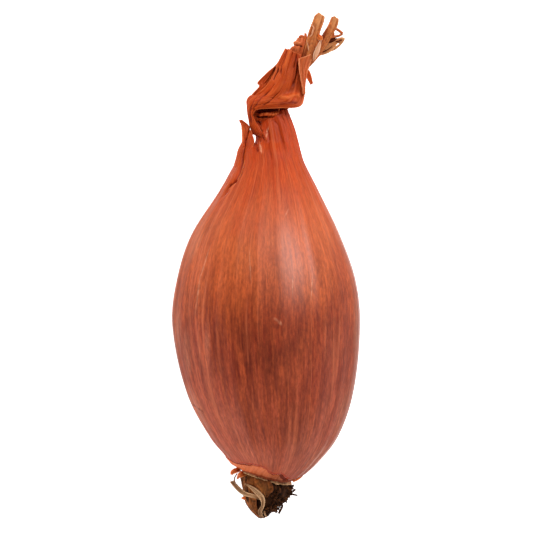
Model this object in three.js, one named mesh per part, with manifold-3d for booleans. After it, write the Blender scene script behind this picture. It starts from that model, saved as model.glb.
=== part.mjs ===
// A long shallot that lies on its side: a bulb in its dry copper skin, whose neck is flattened and folded
// over itself, three dry leaf ends that stand out of the neck, and the root plate with its roots.
// Units are millimetres. +Z is up, +Y runs from the roots to the neck and +X to the right, and the origin
// is the middle of the small flat spot that the bulb rests on.

import * as THREE from "three";
import { mergeVertices } from "three/addons/utils/BufferGeometryUtils.js";
import Module from "manifold-3d";

const wasm = await Module();
wasm.setup();

// ---- Driving dimensions ----

const BULB_WIDTH = 42; // across the widest place
const DEPTH_SHARE = 0.96; // the bulb's height over its width, as it lies
const REST_FLAT = 0.4; // how far the resting spot is pressed into the round underside
const AXIS_HEIGHT = (BULB_WIDTH / 2) * DEPTH_SHARE - REST_FLAT; // the bulb's axis above the table
const JOINT_GAP = 0.3; // free space between neighbouring pieces
const SKIN_STEP = 0.45; // height of the torn edge of the outer skin
const PAPER = 0.8; // thickness of a folded sheet of dry skin
const RIB_HEIGHT = 0.13; // of the lengthwise ribs of the skin

const BULB_SIDES = 72;
const BULB_ROWS = 34; // rings from the torn skin edge to the mouth of the neck

// ---- Closed solids from rings and grids of points ----

const vec = (p) => new THREE.Vector3(...p);

// A manifold solid from flat vertex positions and triangle corners, turned to face outwards.
function solidOf(positions, corners) {
  const make = (order) =>
    new wasm.Manifold(
      new wasm.Mesh({
        numProp: 3,
        vertProperties: new Float32Array(positions),
        triVerts: new Uint32Array(order),
      }),
    );
  const made = make(corners);
  if (made.volume() > 0) return made;
  const turned = [];
  for (let i = 0; i < corners.length; i += 3) turned.push(corners[i], corners[i + 2], corners[i + 1]);
  return make(turned);
}

// Joins rings of equal length side to side and closes both ends with a fan.
function ringSolid(rings) {
  const sides = rings[0].length;
  const positions = rings.flat().flatMap((p) => [p.x, p.y, p.z]);
  const corners = [];
  for (let r = 0; r + 1 < rings.length; r++) {
    for (let s = 0; s < sides; s++) {
      const next = (s + 1) % sides;
      const [a, b] = [r * sides + s, r * sides + next];
      corners.push(a, b, b + sides, a, b + sides, a + sides);
    }
  }
  for (const [ring, first, flip] of [
    [rings[0], 0, true],
    [rings.at(-1), (rings.length - 1) * sides, false],
  ]) {
    const middle = ring.reduce((sum, p) => sum.add(p), new THREE.Vector3()).divideScalar(sides);
    const centre = positions.length / 3;
    positions.push(middle.x, middle.y, middle.z);
    for (let s = 0; s < sides; s++) {
      const [a, b] = [first + s, first + ((s + 1) % sides)];
      corners.push(...(flip ? [b, a, centre] : [a, b, centre]));
    }
  }
  return solidOf(positions, corners);
}

// Joins an upper and a lower grid of points, [row][column], by a rim.
function gridSolid(upper, lower) {
  const [rows, columns] = [upper.length, upper[0].length];
  const positions = [...upper.flat(), ...lower.flat()].flatMap((p) => [p.x, p.y, p.z]);
  const under = rows * columns;
  const at = (row, column) => row * columns + column;
  const corners = [];
  for (let r = 0; r + 1 < rows; r++) {
    for (let c = 0; c + 1 < columns; c++) {
      const [a, b, d, e] = [at(r, c), at(r, c + 1), at(r + 1, c), at(r + 1, c + 1)];
      corners.push(a, b, e, a, e, d);
      corners.push(under + a, under + e, under + b, under + a, under + d, under + e);
    }
  }
  const rim = [];
  for (let c = 0; c < columns; c++) rim.push(at(0, c));
  for (let r = 1; r < rows; r++) rim.push(at(r, columns - 1));
  for (let c = columns - 2; c >= 0; c--) rim.push(at(rows - 1, c));
  for (let r = rows - 2; r > 0; r--) rim.push(at(r, 0));
  rim.forEach((a, i) => {
    const b = rim[(i + 1) % rim.length];
    corners.push(a, under + a, under + b, a, under + b, b);
  });
  return solidOf(positions, corners);
}

const curveThrough = (points) => new THREE.CatmullRomCurve3(points, false, "catmullrom", 0.5);

// A smooth sheet through rows of points, thickened both ways. grow adds to every side of it.
// thickness is a function of u, from 0 to 1 across the sheet.
function sheetSolid(rows, thickness, { across = 4, along = 10, grow = 0 } = {}) {
  const lines = rows[0].map((_, c) => curveThrough(rows.map((row) => vec(row[c]))));
  const surface = (u, v) => curveThrough(lines.map((line) => line.getPoint(v))).getPoint(u);
  const step = 0.02;
  const clamp = THREE.MathUtils.clamp;
  const side = (sign) =>
    Array.from({ length: along + 1 }, (_, r) =>
      Array.from({ length: across + 1 }, (_, c) => {
        const [u, v] = [c / across, r / along];
        const dU = surface(clamp(u + step, 0, 1), v).sub(surface(clamp(u - step, 0, 1), v)).normalize();
        const dV = surface(u, clamp(v + step, 0, 1)).sub(surface(u, clamp(v - step, 0, 1))).normalize();
        const normal = new THREE.Vector3().crossVectors(dU, dV).normalize();
        const out = surface(u, v).addScaledVector(normal, sign * (thickness(u) / 2 + grow));
        if (c === 0 || c === across) out.addScaledVector(dU, c === 0 ? -grow : grow);
        if (r === 0 || r === along) out.addScaledVector(dV, r === 0 ? -grow : grow);
        return out;
      }),
    );
  return gridSolid(side(1), side(-1));
}

const evenly = (thickness) => () => thickness;

// A round or oval rod along a curve. stations are [x, y, z, half width, half thickness].
function rodSolid(stations, { sides = 8, along = 8, grow = 0, turn = 0 } = {}) {
  const path = curveThrough(stations.map(([x, y, z]) => vec([x, y, z])));
  const sizes = curveThrough(stations.map(([, , , w, t]) => vec([w, t, 0])));
  const rings = Array.from({ length: along + 1 }, (_, r) => {
    const v = r / along;
    const tangent = path.getTangent(v);
    const wide = new THREE.Vector3().crossVectors(tangent, vec([0, 0, 1])).normalize();
    wide.applyAxisAngle(tangent, turn);
    const thick = new THREE.Vector3().crossVectors(wide, tangent);
    const size = sizes.getPoint(v);
    const middle = path.getPoint(v).addScaledVector(tangent, r === 0 ? -grow : r === along ? grow : 0);
    return Array.from({ length: sides }, (_, s) => {
      const angle = (2 * Math.PI * (s + 0.5)) / sides;
      return middle
        .clone()
        .addScaledVector(wide, Math.cos(angle) * (size.x + grow))
        .addScaledVector(thick, Math.sin(angle) * (size.y + grow));
    });
  });
  return ringSolid(rings);
}

const join = (solids) => solids.reduce((a, b) => a.add(b));

// ---- The bulb and its neck ----

// Outline seen from above, where its sides turn: [y, left x, right x]. A smooth curve joins the places.
const OUTLINE = [
  [-34.5, -6.0, 7.0],
  [-31.0, -7.5, 11.2],
  [-25.0, -12.5, 16.0],
  [-15.0, -17.8, 19.5],
  [0.0, -BULB_WIDTH / 2, BULB_WIDTH / 2],
  [10.0, -20.0, 20.0],
  [20.0, -16.8, 16.5],
  [30.0, -10.4, 11.7],
  [36.0, -7.0, 8.7],
  [38.5, -5.7, 7.9],
  [40.5, -2.6, 7.4],
  [43.5, -2.5, 6.6],
  [47.3, -1.8, 5.2],
];
const NECK_TOP = OUTLINE.at(-1)[0];
const NECK_FLATTENS = { from: 29, to: 46, share: 0.62 };
// The rim of the skin round the root plate. It slants down to the right and lifts again past `liftFrom`.
const BASE_RING = { x: -0.4, y: -33.5, halfWidth: 6.2, halfHeight: 5.7, slope: -0.31, lift: 0.035, liftFrom: 1 };

// Where the outer skin ends round the base: [angle in degrees from +X by way of +Z, y].
const TORN_EDGE = [
  [0, -33.3],
  [20, -33.7],
  [36, -34.0],
  [50, -33.9],
  [58, -33.5],
  [66, -32.8],
  [76, -32.4],
  [92, -32.4],
  [98, -31.8],
  [104, -30.9],
  [114, -30.4],
  [150, -30.4],
  [165, -29.9],
  [180, -29.0],
  [210, -30.4],
  [240, -31.6],
  [262, -31.0],
  [285, -32.6],
  [320, -32.4],
  [360, -33.3],
];
const TORN_LEVEL = -32;
const TORN_FADE = 7; // how far up the rings keep the wave of the torn edge

const tableOf = (rows) => {
  const width = rows[0].length - 1;
  return new THREE.LinearInterpolant(
    Float32Array.from(rows, (row) => row[0]),
    Float32Array.from(rows.flatMap((row) => row.slice(1))),
    width,
    new Float32Array(width),
  );
};
const outline = new THREE.CubicInterpolant(
  Float32Array.from(OUTLINE, (row) => row[0]),
  Float32Array.from(OUTLINE.flatMap((row) => row.slice(1))),
  2,
  new Float32Array(2),
);
const tornEdge = tableOf(TORN_EDGE);

// A point of the skin at height y and an angle round the axis, sunk by a depth.
function skinPoint(y, angle, sunk) {
  const [left, right] = outline.evaluate(THREE.MathUtils.clamp(y, OUTLINE[0][0], NECK_TOP));
  const halfWidth = (right - left) / 2;
  const flat = THREE.MathUtils.smoothstep(y, NECK_FLATTENS.from, NECK_FLATTENS.to);
  const halfHeight = halfWidth * DEPTH_SHARE * THREE.MathUtils.lerp(1, NECK_FLATTENS.share, flat);
  const ribs = 0.6 * Math.cos(19 * angle + 0.4) + 0.4 * Math.cos(25 * angle + 2.1);
  const ribFade = Math.min(1, halfWidth / 12);
  const out = RIB_HEIGHT * ribs * ribFade - sunk;
  return new THREE.Vector3(
    (left + right) / 2 + (halfWidth + out) * Math.cos(angle),
    y,
    (halfHeight + out) * Math.sin(angle),
  );
}

// How far the base is skewed along the axis at a distance x from its middle.
const baseSkew = (x) => {
  const past = Math.max(0, BASE_RING.x + x - BASE_RING.liftFrom);
  return BASE_RING.slope * x + BASE_RING.lift * past ** 2;
};

function basePoint(angle) {
  const x = BASE_RING.halfWidth * Math.cos(angle);
  return new THREE.Vector3(
    BASE_RING.x + x,
    BASE_RING.y + baseSkew(x),
    BASE_RING.halfHeight * Math.sin(angle),
  );
}

function bulbBody() {
  const ring = (pointAt) =>
    Array.from({ length: BULB_SIDES }, (_, s) => pointAt((2 * Math.PI * s) / BULB_SIDES));
  const tornAt = (angle) => tornEdge.evaluate(THREE.MathUtils.radToDeg(angle))[0];
  const rings = [ring(basePoint)];
  for (const share of [0.35, 0.7, 1])
    rings.push(ring((a) => basePoint(a).lerp(skinPoint(tornAt(a) - 0.1, a, SKIN_STEP), share)));
  for (let r = 0; r <= BULB_ROWS; r++) {
    const level = THREE.MathUtils.lerp(TORN_LEVEL, NECK_TOP, r / BULB_ROWS);
    const keep = Math.max(0, 1 - (level - TORN_LEVEL) / TORN_FADE);
    rings.push(ring((a) => skinPoint(level + (tornAt(a) - TORN_LEVEL) * keep, a, 0)));
  }
  const lip = 0.75; // the mouth of the neck narrows a little inwards
  rings.push(rings.at(-1).map((p) => new THREE.Vector3(p.x * lip + 0.4, p.y + 0.5, p.z * lip)));
  return ringSolid(rings);
}

// The dry neck above the fold. Its front is one sheet that comes up from the neck as a narrow twisted strip
// at the left and fans out to the right, so that its lower edge overhangs the neck. Each row runs from the
// left or upper side of the sheet to its right or lower side: the two ends in x and y, and heights between.
const FAN = [
  [[-2.9, 42.3], [-0.1, 41.5], [0.5, 0.9, 1.4, 1.9, 2.2]],
  [[-3.7, 44.2], [-1.5, 43.8], [0.6, 1.2, 1.7, 1.9, 1.7]],
  [[-4.0, 45.7], [-2.5, 45.5], [0.6, 1.5, 2.1, 2.3, 2.0]],
  [[-4.3, 47.1], [-2.9, 46.6], [0.7, 1.9, 2.7, 2.9, 2.5]],
  [[-4.4, 48.4], [-2.1, 47.7], [0.8, 2.3, 3.2, 3.5, 3.1]],
  [[-4.3, 49.7], [0.0, 48.0], [0.8, 2.7, 3.7, 4.1, 3.5]],
  [[-3.5, 50.8], [3.2, 48.1], [0.9, 3.0, 4.2, 4.5, 3.6]],
  [[-1.6, 51.8], [7.3, 48.3], [1.6, 3.4, 3.9, 4.3, 3.2]],
  [[0.1, 53.5], [8.4, 50.1], [1.9, 3.5, 3.6, 2.9, 2.6]],
  [[1.7, 55.7], [8.7, 53.4], [1.9, 3.3, 3.5, 2.7, 2.4]],
  [[2.5, 57.7], [9.0, 56.6], [1.7, 2.9, 3.1, 2.7, 2.5]],
  [[3.6, 59.8], [8.6, 58.4], [1.5, 2.6, 2.9, 2.6, 2.4]],
  [[4.6, 61.7], [8.0, 59.8], [1.2, 2.2, 2.7, 2.4, 2.2]],
];
const fanRows = FAN.map(([[x0, y0], [x1, y1], heights]) =>
  heights.map((z, i) => {
    const share = i / (heights.length - 1);
    return [THREE.MathUtils.lerp(x0, x1, share), THREE.MathUtils.lerp(y0, y1, share), z];
  }),
);

// The back of the folded neck, left to right. Its left edge stands out behind the front as a free flap.
const BACK = [
  [[-3.2, 46.4, -0.4], [0.2, 46.2, -1.0], [3.6, 46.6, -0.4]],
  [[-3.9, 48.6, 0.2], [0.8, 48.4, -0.9], [5.4, 48.5, 1.2]],
  [[-3.3, 50.9, 0.6], [2.2, 50.6, -0.7], [8.1, 50.2, 1.5]],
  [[-1.6, 52.9, 0.7], [3.0, 52.9, -0.5], [8.2, 53.2, 1.2]],
  [[-1.7, 53.8, 0.8], [3.8, 54.6, -0.4], [8.5, 55.2, 1.0]],
  [[0.4, 56.0, 0.8], [4.8, 56.8, -0.4], [8.8, 57.0, 0.8]],
  [[2.3, 57.9, 0.8], [5.8, 58.8, -0.3], [8.6, 58.8, 0.8]],
  [[4.4, 61.4, 0.9], [6.2, 60.9, 0.0], [8.0, 60.2, 0.9]],
];

// The inner leaves, crushed between the two: [x, y, z, half width, half thickness].
const CORE = [
  [2.4, 43.0, -0.6, 3.6, 1.6],
  [1.2, 47.0, -0.3, 3.0, 1.1],
  [2.2, 50.6, 1.2, 4.2, 1.5],
  [4.6, 54.6, 1.1, 3.4, 1.5],
  [7.2, 58.2, 0.9, 2.1, 1.6],
  [7.7, 59.3, 0.9, 1.9, 1.5],
];
// The crumpled hollow at the mouth of the neck, below the overhanging edge of the front.
const MOUTH = [
  [0.4, 45.0, 2.6, 0.9, 0.3],
  [0.2, 46.6, 1.9, 1.9, 0.7],
  [0.6, 48.2, 1.7, 2.3, 0.9],
];

// The raised fold of skin down the left shoulder of the bulb. Its tip stands free.
const LEFT_FOLD = [
  [[-6.0, 45.5, 0.0], [-5.6, 45.5, 0.3], [-5.2, 45.3, 0.2]],
  [[-5.3, 44.1, 0.2], [-4.7, 44.3, 0.8], [-4.0, 44.4, 0.7]],
  [[-5.2, 42.6, 0.3], [-4.3, 42.6, 1.4], [-3.2, 42.5, 1.0]],
  [[-5.2, 40.8, 0.3], [-4.1, 40.7, 2.0], [-2.7, 40.5, 1.6]],
  [[-6.1, 38.9, 0.2], [-5.1, 38.7, 2.7], [-3.4, 38.4, 2.9]],
  [[-6.7, 36.7, 0.0], [-5.9, 36.4, 3.0], [-4.5, 36.1, 4.1]],
  [[-7.7, 34.0, 0.0], [-6.8, 33.8, 3.7], [-5.6, 33.2, 5.4]],
  [[-9.3, 31.3, 0.0], [-8.3, 31.1, 4.7], [-7.4, 30.6, 6.4]],
  [[-11.0, 29.1, 0.0], [-10.3, 29.1, 4.6], [-9.5, 28.9, 6.4]],
];

// Overlapping flaps of dry skin, each a small sheet that is fused to the folded neck along one side.
const FLAPS = [
  // right side, long and narrow
  [
    [[7.0, 59.3, 3.0], [8.8, 59.8, 3.4], [10.8, 60.1, 2.4]],
    [[7.2, 57.6, 3.1], [8.2, 57.6, 3.3], [9.7, 57.6, 2.2]],
    [[7.5, 55.6, 3.1], [8.2, 55.6, 3.2], [9.2, 55.4, 2.2]],
    [[7.8, 53.1, 3.2], [8.2, 53.1, 3.1], [8.7, 53.0, 2.2]],
    [[8.0, 51.1, 3.2], [8.2, 51.1, 3.0], [8.6, 51.1, 2.3]],
  ],
  // torn upper edge
  [
    [[4.6, 60.0, 1.4], [6.4, 59.8, 2.2], [8.2, 59.4, 2.0]],
    [[5.3, 61.2, 1.8], [6.8, 61.2, 2.5], [8.5, 60.8, 2.4]],
    [[6.2, 62.2, 2.0], [7.3, 62.4, 2.6], [8.8, 62.0, 2.6]],
    [[7.1, 63.6, 1.8], [7.8, 63.7, 2.2], [8.6, 63.4, 2.2]],
    [[7.7, 64.4, 1.7], [8.0, 64.4, 1.9], [8.3, 64.2, 1.9]],
  ],
  // spur at the right
  [
    [[8.6, 55.3, 1.6], [9.1, 56.0, 1.7], [9.5, 56.5, 1.6]],
    [[9.3, 54.2, 1.4], [9.7, 54.6, 1.5], [10.1, 55.0, 1.4]],
    [[9.8, 53.4, 1.0], [10.1, 53.6, 1.1], [10.4, 53.8, 1.0]],
  ],
];

// Curled flakes of skin that hang at the left of the base: [x, y, z, half width, half thickness].
const BASE_FLAKES = [
  [
    [-5.4, -31.6, 2.0, 1.1, 0.5],
    [-6.6, -32.0, 2.2, 1.0, 0.45],
    [-7.6, -33.2, 2.0, 0.6, 0.35],
  ],
  [
    [-5.3, -30.8, 2.6, 0.9, 0.4],
    [-6.5, -32.9, 3.0, 0.8, 0.35],
    [-6.8, -34.6, 2.5, 0.4, 0.3],
  ],
];

// ---- Dry leaf ends at the tip of the neck ----

// [x, y, z, half width, half thickness]
const STUB_LEFT = [
  [7.9, 56.6, 1.9, 1.0, 0.5],
  [9.6, 60.2, 2.5, 1.3, 0.65],
  [10.6, 63.5, 3.0, 1.35, 0.7],
  [11.3, 66.5, 3.2, 1.45, 0.7],
  [11.9, 69.2, 3.2, 1.15, 0.45],
];
const STUB_RIGHT = [
  [8.2, 56.4, 0.5, 0.7, 0.4],
  [11.2, 60.2, 0.8, 1.0, 0.55],
  [13.2, 63.6, 1.1, 1.15, 0.65],
  [14.7, 66.4, 1.3, 1.05, 0.6],
  [15.4, 68.6, 1.3, 0.75, 0.4],
];
const FRAYED_BLADE = [
  [[7.5, 56.6, -0.6], [8.0, 57.3, -0.5], [8.5, 58.0, -0.6]],
  [[9.4, 58.6, -0.8], [9.7, 59.6, -0.5], [10.0, 60.4, -0.7]],
  [[11.4, 59.8, -0.9], [11.4, 61.1, -0.5], [11.8, 62.2, -0.8]],
  [[13.4, 60.3, -0.8], [13.4, 61.8, -0.4], [13.6, 63.1, -0.7]],
  [[15.6, 61.9, -0.6], [15.6, 62.7, -0.4], [15.6, 63.6, -0.5]],
  [[17.5, 63.4, -0.5], [17.5, 63.7, -0.4], [17.5, 64.0, -0.5]],
];
// Thin torn fibres: a lower one beside the tip of the blade, and a loop above it.
const FRAYED_FIBRES = [
  [
    [13.2, 60.6, -0.6, 0.32, 0.3],
    [15.8, 61.6, -0.5, 0.3, 0.3],
    [17.2, 63.2, -0.4, 0.3, 0.3],
  ],
  [
    [13.6, 62.7, -0.6, 0.3, 0.3],
    [16.0, 63.9, -0.3, 0.3, 0.3],
    [17.0, 64.8, 0.0, 0.3, 0.3],
    [15.9, 65.7, 0.0, 0.3, 0.3],
    [15.2, 65.9, -0.2, 0.3, 0.3],
  ],
];
const STUB_SIDES = 10;

const stubLeft = (grow) => rodSolid(STUB_LEFT, { sides: STUB_SIDES, grow, turn: 0.25 });
const stubRight = (grow) => rodSolid(STUB_RIGHT, { sides: STUB_SIDES, grow, turn: -0.3 });
const frayedBlade = (grow) => sheetSolid(FRAYED_BLADE, evenly(0.6), { across: 4, along: 10, grow });
const frayedLeaf = () =>
  join([frayedBlade(0), ...FRAYED_FIBRES.map((fibre) => rodSolid(fibre, { sides: 5, along: 7 }))]);

// ---- Root plate, roots and straps ----

// [x, y, half width, half height] of the plate, from inside the bulb to its tip.
const PLATE = [
  [-0.4, -32.2, 3.8, 3.6],
  [0.1, -33.8, 5.4, 5.0],
  [0.4, -35.2, 5.8, 5.5],
  [0.1, -37.2, 5.0, 4.8],
  [-0.4, -39.3, 3.9, 3.8],
  [-0.6, -41.0, 2.7, 2.6],
  [-0.6, -42.4, 1.2, 1.2],
  [-0.6, -43.2, 0.4, 0.4],
];
const PLATE_SIDES = 30;
const PLATE_ROWS = 15;
const PLATE_LUMP = 0.3;
const plateLine = curveThrough(PLATE.map(([x, y]) => vec([x, y, 0])));
const plateSize = curveThrough(PLATE.map(([, , w, h]) => vec([w, h, 0])));

function plateBody(grow) {
  const rings = Array.from({ length: PLATE_ROWS + 1 }, (_, r) => {
    const v = r / PLATE_ROWS;
    const middle = plateLine.getPoint(v);
    const size = plateSize.getPoint(v);
    return Array.from({ length: PLATE_SIDES }, (_, s) => {
      const angle = (2 * Math.PI * s) / PLATE_SIDES;
      const bare = THREE.MathUtils.smoothstep(v, 0.25, 0.4); // the seat in the bulb stays even
      const lumps = Math.sin(5 * angle + 9 * v) + 0.7 * Math.sin(9 * angle - 14 * v + 1);
      const out = grow + PLATE_LUMP * lumps * bare * Math.min(1, size.x / 3);
      const x = (size.x + out) * Math.cos(angle);
      const skew = baseSkew(x) * (1 - v);
      const y = middle.y + skew + (r === 0 ? grow : 0);
      return new THREE.Vector3(middle.x + x, y, (size.y + out) * Math.sin(angle));
    });
  });
  return ringSolid(rings);
}

// Short dark root ends, in rows round the right and the underside of the plate.
const ROOT_ROWS = [
  { share: 0.36, count: 11 },
  { share: 0.44, count: 12 },
  { share: 0.52, count: 11 },
  { share: 0.6, count: 10 },
  { share: 0.69, count: 8 },
  { share: 0.78, count: 6 },
];
const ROOT_ARC = { from: -125, to: 72 }; // degrees round the axis, from +X by way of +Z
const ROOT_WIDTH = 0.85;
const ROOT_REACH = 0.75; // how far most of them stand out of the plate
// Three longer ones that stand clear at the right: [x, y, z, radius, radius].
const LONG_ROOTS = [
  [
    [3.0, -38.4, 0.6, 0.32, 0.32],
    [4.8, -37.7, 0.8, 0.32, 0.32],
    [6.5, -36.4, 1.0, 0.3, 0.3],
  ],
  [
    [3.0, -37.4, -0.8, 0.32, 0.32],
    [5.4, -37.6, -0.9, 0.32, 0.32],
    [7.0, -37.9, -0.8, 0.3, 0.3],
  ],
  [
    [1.6, -39.2, 1.4, 0.32, 0.32],
    [3.4, -39.8, 1.6, 0.32, 0.32],
    [3.3, -40.7, 1.6, 0.3, 0.3],
    [2.8, -41.7, 1.5, 0.3, 0.3],
  ],
];

// A repeatable stream of numbers from 0 to 1.
function seeded(seed) {
  let state = seed;
  return () => {
    state = (state * 1664525 + 1013904223) % 4294967296;
    return state / 4294967296;
  };
}

function rootEnds() {
  const draw = seeded(7);
  const spread = (span) => (draw() - 0.5) * span;
  return ROOT_ROWS.flatMap(({ share, count }, row) =>
    Array.from({ length: count }, (_, i) => {
      const turn = (i + (row % 2 ? 0.75 : 0.25)) / count;
      const degrees = THREE.MathUtils.lerp(ROOT_ARC.from, ROOT_ARC.to, turn) + spread(10);
      const angle = THREE.MathUtils.degToRad(degrees);
      const size = plateSize.getPoint(share + spread(0.04));
      const round = vec([Math.cos(angle), 0, Math.sin(angle)]);
      const surface = plateLine.getPoint(share).add(round.clone().multiply(vec([size.x, 0, size.y])));
      const way = round.clone().add(vec([spread(0.5), -0.7 + spread(0.6), spread(0.5)])).normalize();
      const reach = ROOT_REACH * (0.7 + 0.6 * draw());
      const half = ROOT_WIDTH / 2;
      const station = (along, radius) => {
        const p = surface.clone().addScaledVector(way, along);
        return [p.x, p.y - 0.12 * Math.max(0, along) ** 2, p.z, radius, radius];
      };
      const stations = [station(-1.2, half * 1.2), station(reach, half * 0.7)];
      return rodSolid(stations, { sides: 5, along: 1 });
    }),
  );
}

// Two pale straps, old root sheaths, that lie over the front of the plate and meet at its tip.
const STRAP_FRONT = [
  [[-3.9, -35.2, 4.4], [-4.6, -34.7, 3.9]],
  [[-2.6, -36.7, 4.6], [-1.9, -35.9, 5.2]],
  [[-1.2, -38.5, 4.5], [-0.1, -37.6, 5.0]],
  [[-1.2, -39.8, 3.8], [0.1, -39.6, 3.9]],
  [[-1.9, -41.1, 2.6], [-0.7, -41.4, 2.7]],
  [[-1.3, -42.4, 1.4], [-0.5, -42.0, 2.0]],
];
const STRAP_LEFT = [
  [[-8.0, -34.8, 1.5], [-7.3, -34.4, 1.6]],
  [[-6.5, -36.5, 2.2], [-5.8, -35.9, 2.4]],
  [[-5.0, -37.8, 2.4], [-4.3, -37.0, 2.9]],
  [[-3.2, -38.4, 3.4], [-2.6, -37.5, 4.2]],
  [[-1.2, -38.7, 4.3], [-1.0, -38.0, 4.7]],
];
const STRAP_FIBRE = [
  [-6.4, -32.8, 1.8, 0.3, 0.3],
  [-7.0, -33.9, 1.7, 0.3, 0.3],
  [-6.8, -34.9, 2.0, 0.3, 0.3],
  [-6.1, -36.0, 2.3, 0.3, 0.3],
];
const STRAP_THICKNESS = 0.6;

const straps = (grow) =>
  join([
    sheetSolid(STRAP_FRONT, evenly(STRAP_THICKNESS), { across: 2, along: 16, grow }),
    sheetSolid(STRAP_LEFT, evenly(STRAP_THICKNESS), { across: 2, along: 9, grow }),
    rodSolid(STRAP_FIBRE, { sides: 5, along: 7, grow }),
  ]);

// ---- Assembly ----

function bulbSolid() {
  const skin = join([
    bulbBody(),
    rodSolid(CORE, { sides: 12, along: 10 }),
    sheetSolid(fanRows, evenly(0.9), { across: 8, along: 26 }),
    sheetSolid(BACK, evenly(0.8), { across: 6, along: 16 }),
    sheetSolid(LEFT_FOLD, evenly(PAPER), { across: 4, along: 16 }),
    ...FLAPS.map((flap) => sheetSolid(flap, evenly(0.65), { across: 3, along: 7 })),
    ...BASE_FLAKES.map((flake) => rodSolid(flake, { sides: 6, along: 4 })),
  ]);
  const table = new THREE.BoxGeometry(60, 60, 10).translate(0, 0, -AXIS_HEIGHT - 5);
  return skin
    .subtract(rodSolid(MOUTH, { sides: 10, along: 6 }))
    .subtract(fromGeometry(table))
    .subtract(stubLeft(JOINT_GAP))
    .subtract(stubRight(JOINT_GAP))
    .subtract(frayedBlade(JOINT_GAP))
    .subtract(plateBody(JOINT_GAP))
    .subtract(straps(JOINT_GAP));
}

function fromGeometry(geometry) {
  geometry.deleteAttribute("normal");
  geometry.deleteAttribute("uv");
  const merged = mergeVertices(geometry);
  return solidOf([...merged.attributes.position.array], [...merged.index.array]);
}

// The largest body of a solid, without the loose scraps that a cut can leave.
function mainBody(solid) {
  return solid.decompose().reduce((a, b) => (a.volume() > b.volume() ? a : b));
}

function toMesh(name, solid, color, roughness) {
  const mesh = mainBody(solid).getMesh();
  const geometry = new THREE.BufferGeometry()
    .setAttribute("position", new THREE.BufferAttribute(mesh.vertProperties, 3))
    .setIndex(new THREE.BufferAttribute(mesh.triVerts, 1));
  geometry.computeVertexNormals();
  const made = new THREE.Mesh(
    geometry,
    new THREE.MeshStandardMaterial({ color, roughness, metalness: 0 }),
  );
  made.name = name;
  return made;
}

const longRoots = LONG_ROOTS.map((root) => rodSolid(root, { sides: 5, along: 5 }));
const rootPlate = join([plateBody(0), ...rootEnds(), ...longRoots]).subtract(straps(JOINT_GAP));

const shallot = new THREE.Group();
shallot.add(
  toMesh("bulb", bulbSolid(), 0xb4532c, 0.42),
  toMesh("leaf_stub_left", stubLeft(0), 0xbe6f3c, 0.7),
  toMesh("leaf_stub_right", stubRight(0), 0xc07a4c, 0.7),
  toMesh("frayed_leaf", frayedLeaf(), 0xab6a3c, 0.75),
  toMesh("root_plate", rootPlate, 0x4a2412, 0.9),
  toMesh("root_straps", straps(0), 0x8e6a4a, 0.8),
);
shallot.position.z = AXIS_HEIGHT;

const part = new THREE.Group();
part.add(shallot);

export default part;
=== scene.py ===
import math
import random

import bpy
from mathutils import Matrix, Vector, noise


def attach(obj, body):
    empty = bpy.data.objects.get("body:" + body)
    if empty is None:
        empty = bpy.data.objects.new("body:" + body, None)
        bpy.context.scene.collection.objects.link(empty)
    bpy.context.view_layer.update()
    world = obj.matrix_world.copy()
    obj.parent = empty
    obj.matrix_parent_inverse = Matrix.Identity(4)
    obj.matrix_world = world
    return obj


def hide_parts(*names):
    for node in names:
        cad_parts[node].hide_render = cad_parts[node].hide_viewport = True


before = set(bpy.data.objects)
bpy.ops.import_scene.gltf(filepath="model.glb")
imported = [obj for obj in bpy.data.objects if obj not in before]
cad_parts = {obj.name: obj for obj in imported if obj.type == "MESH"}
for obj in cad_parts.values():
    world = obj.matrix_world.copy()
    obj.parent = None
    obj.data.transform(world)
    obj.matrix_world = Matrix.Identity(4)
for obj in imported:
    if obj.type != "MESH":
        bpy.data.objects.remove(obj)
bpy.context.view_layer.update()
print("frame loaded")

mm = 0.001

# the bulb as it lies, as in its solid
bulbShape = {
    "widest": 42 * mm, "depthShare": 0.96,  # height over width
    "restFlat": 0.4 * mm,  # how far the underside is pressed flat
    "neckFlattens": (29, 46),  # from here to here along the neck, in mm
    "neckShare": 0.62,
}
axisHeight = bulbShape["widest"] / 2 * bulbShape["depthShare"] - bulbShape["restFlat"]


def place(x, y, z):
    # millimetres from the bulb's axis to a point of the frame
    return Vector((x * mm, y * mm, z * mm + axisHeight))


def deselectAll():
    bpy.ops.object.select_all(action="DESELECT")


def activate(piece):
    deselectAll()
    piece.select_set(True)
    bpy.context.view_layer.objects.active = piece


def addModifier(piece, kind, **settings):
    activate(piece)
    bpy.ops.object.modifier_add(type=kind)
    modifier = piece.modifiers[-1]
    for key, value in settings.items():
        setattr(modifier, key, value)
    bpy.ops.object.modifier_apply(modifier=modifier.name)


def smoothBetween(value, start, end):
    share = min(1, max(0, (value - start) / (end - start)))
    return share * share * (3 - 2 * share)


def mixed(a, b, share):
    return a + (b - a) * share


def splinePoint(points, share):
    # a smooth curve through all the points, share from 0 to 1
    last = len(points) - 1
    at = min(max(share, 0), 1) * last
    i = min(int(at), last - 1)
    t = at - i
    b, c = points[i], points[i + 1]
    a = points[i - 1] if i > 0 else 2 * b - c
    d = points[i + 2] if i + 2 <= last else 2 * c - b
    return 0.5 * (
        2 * b + (c - a) * t + (2 * a - 5 * b + 4 * c - d) * t * t + (3 * b - a - 3 * c + d) * t ** 3
    )


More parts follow.
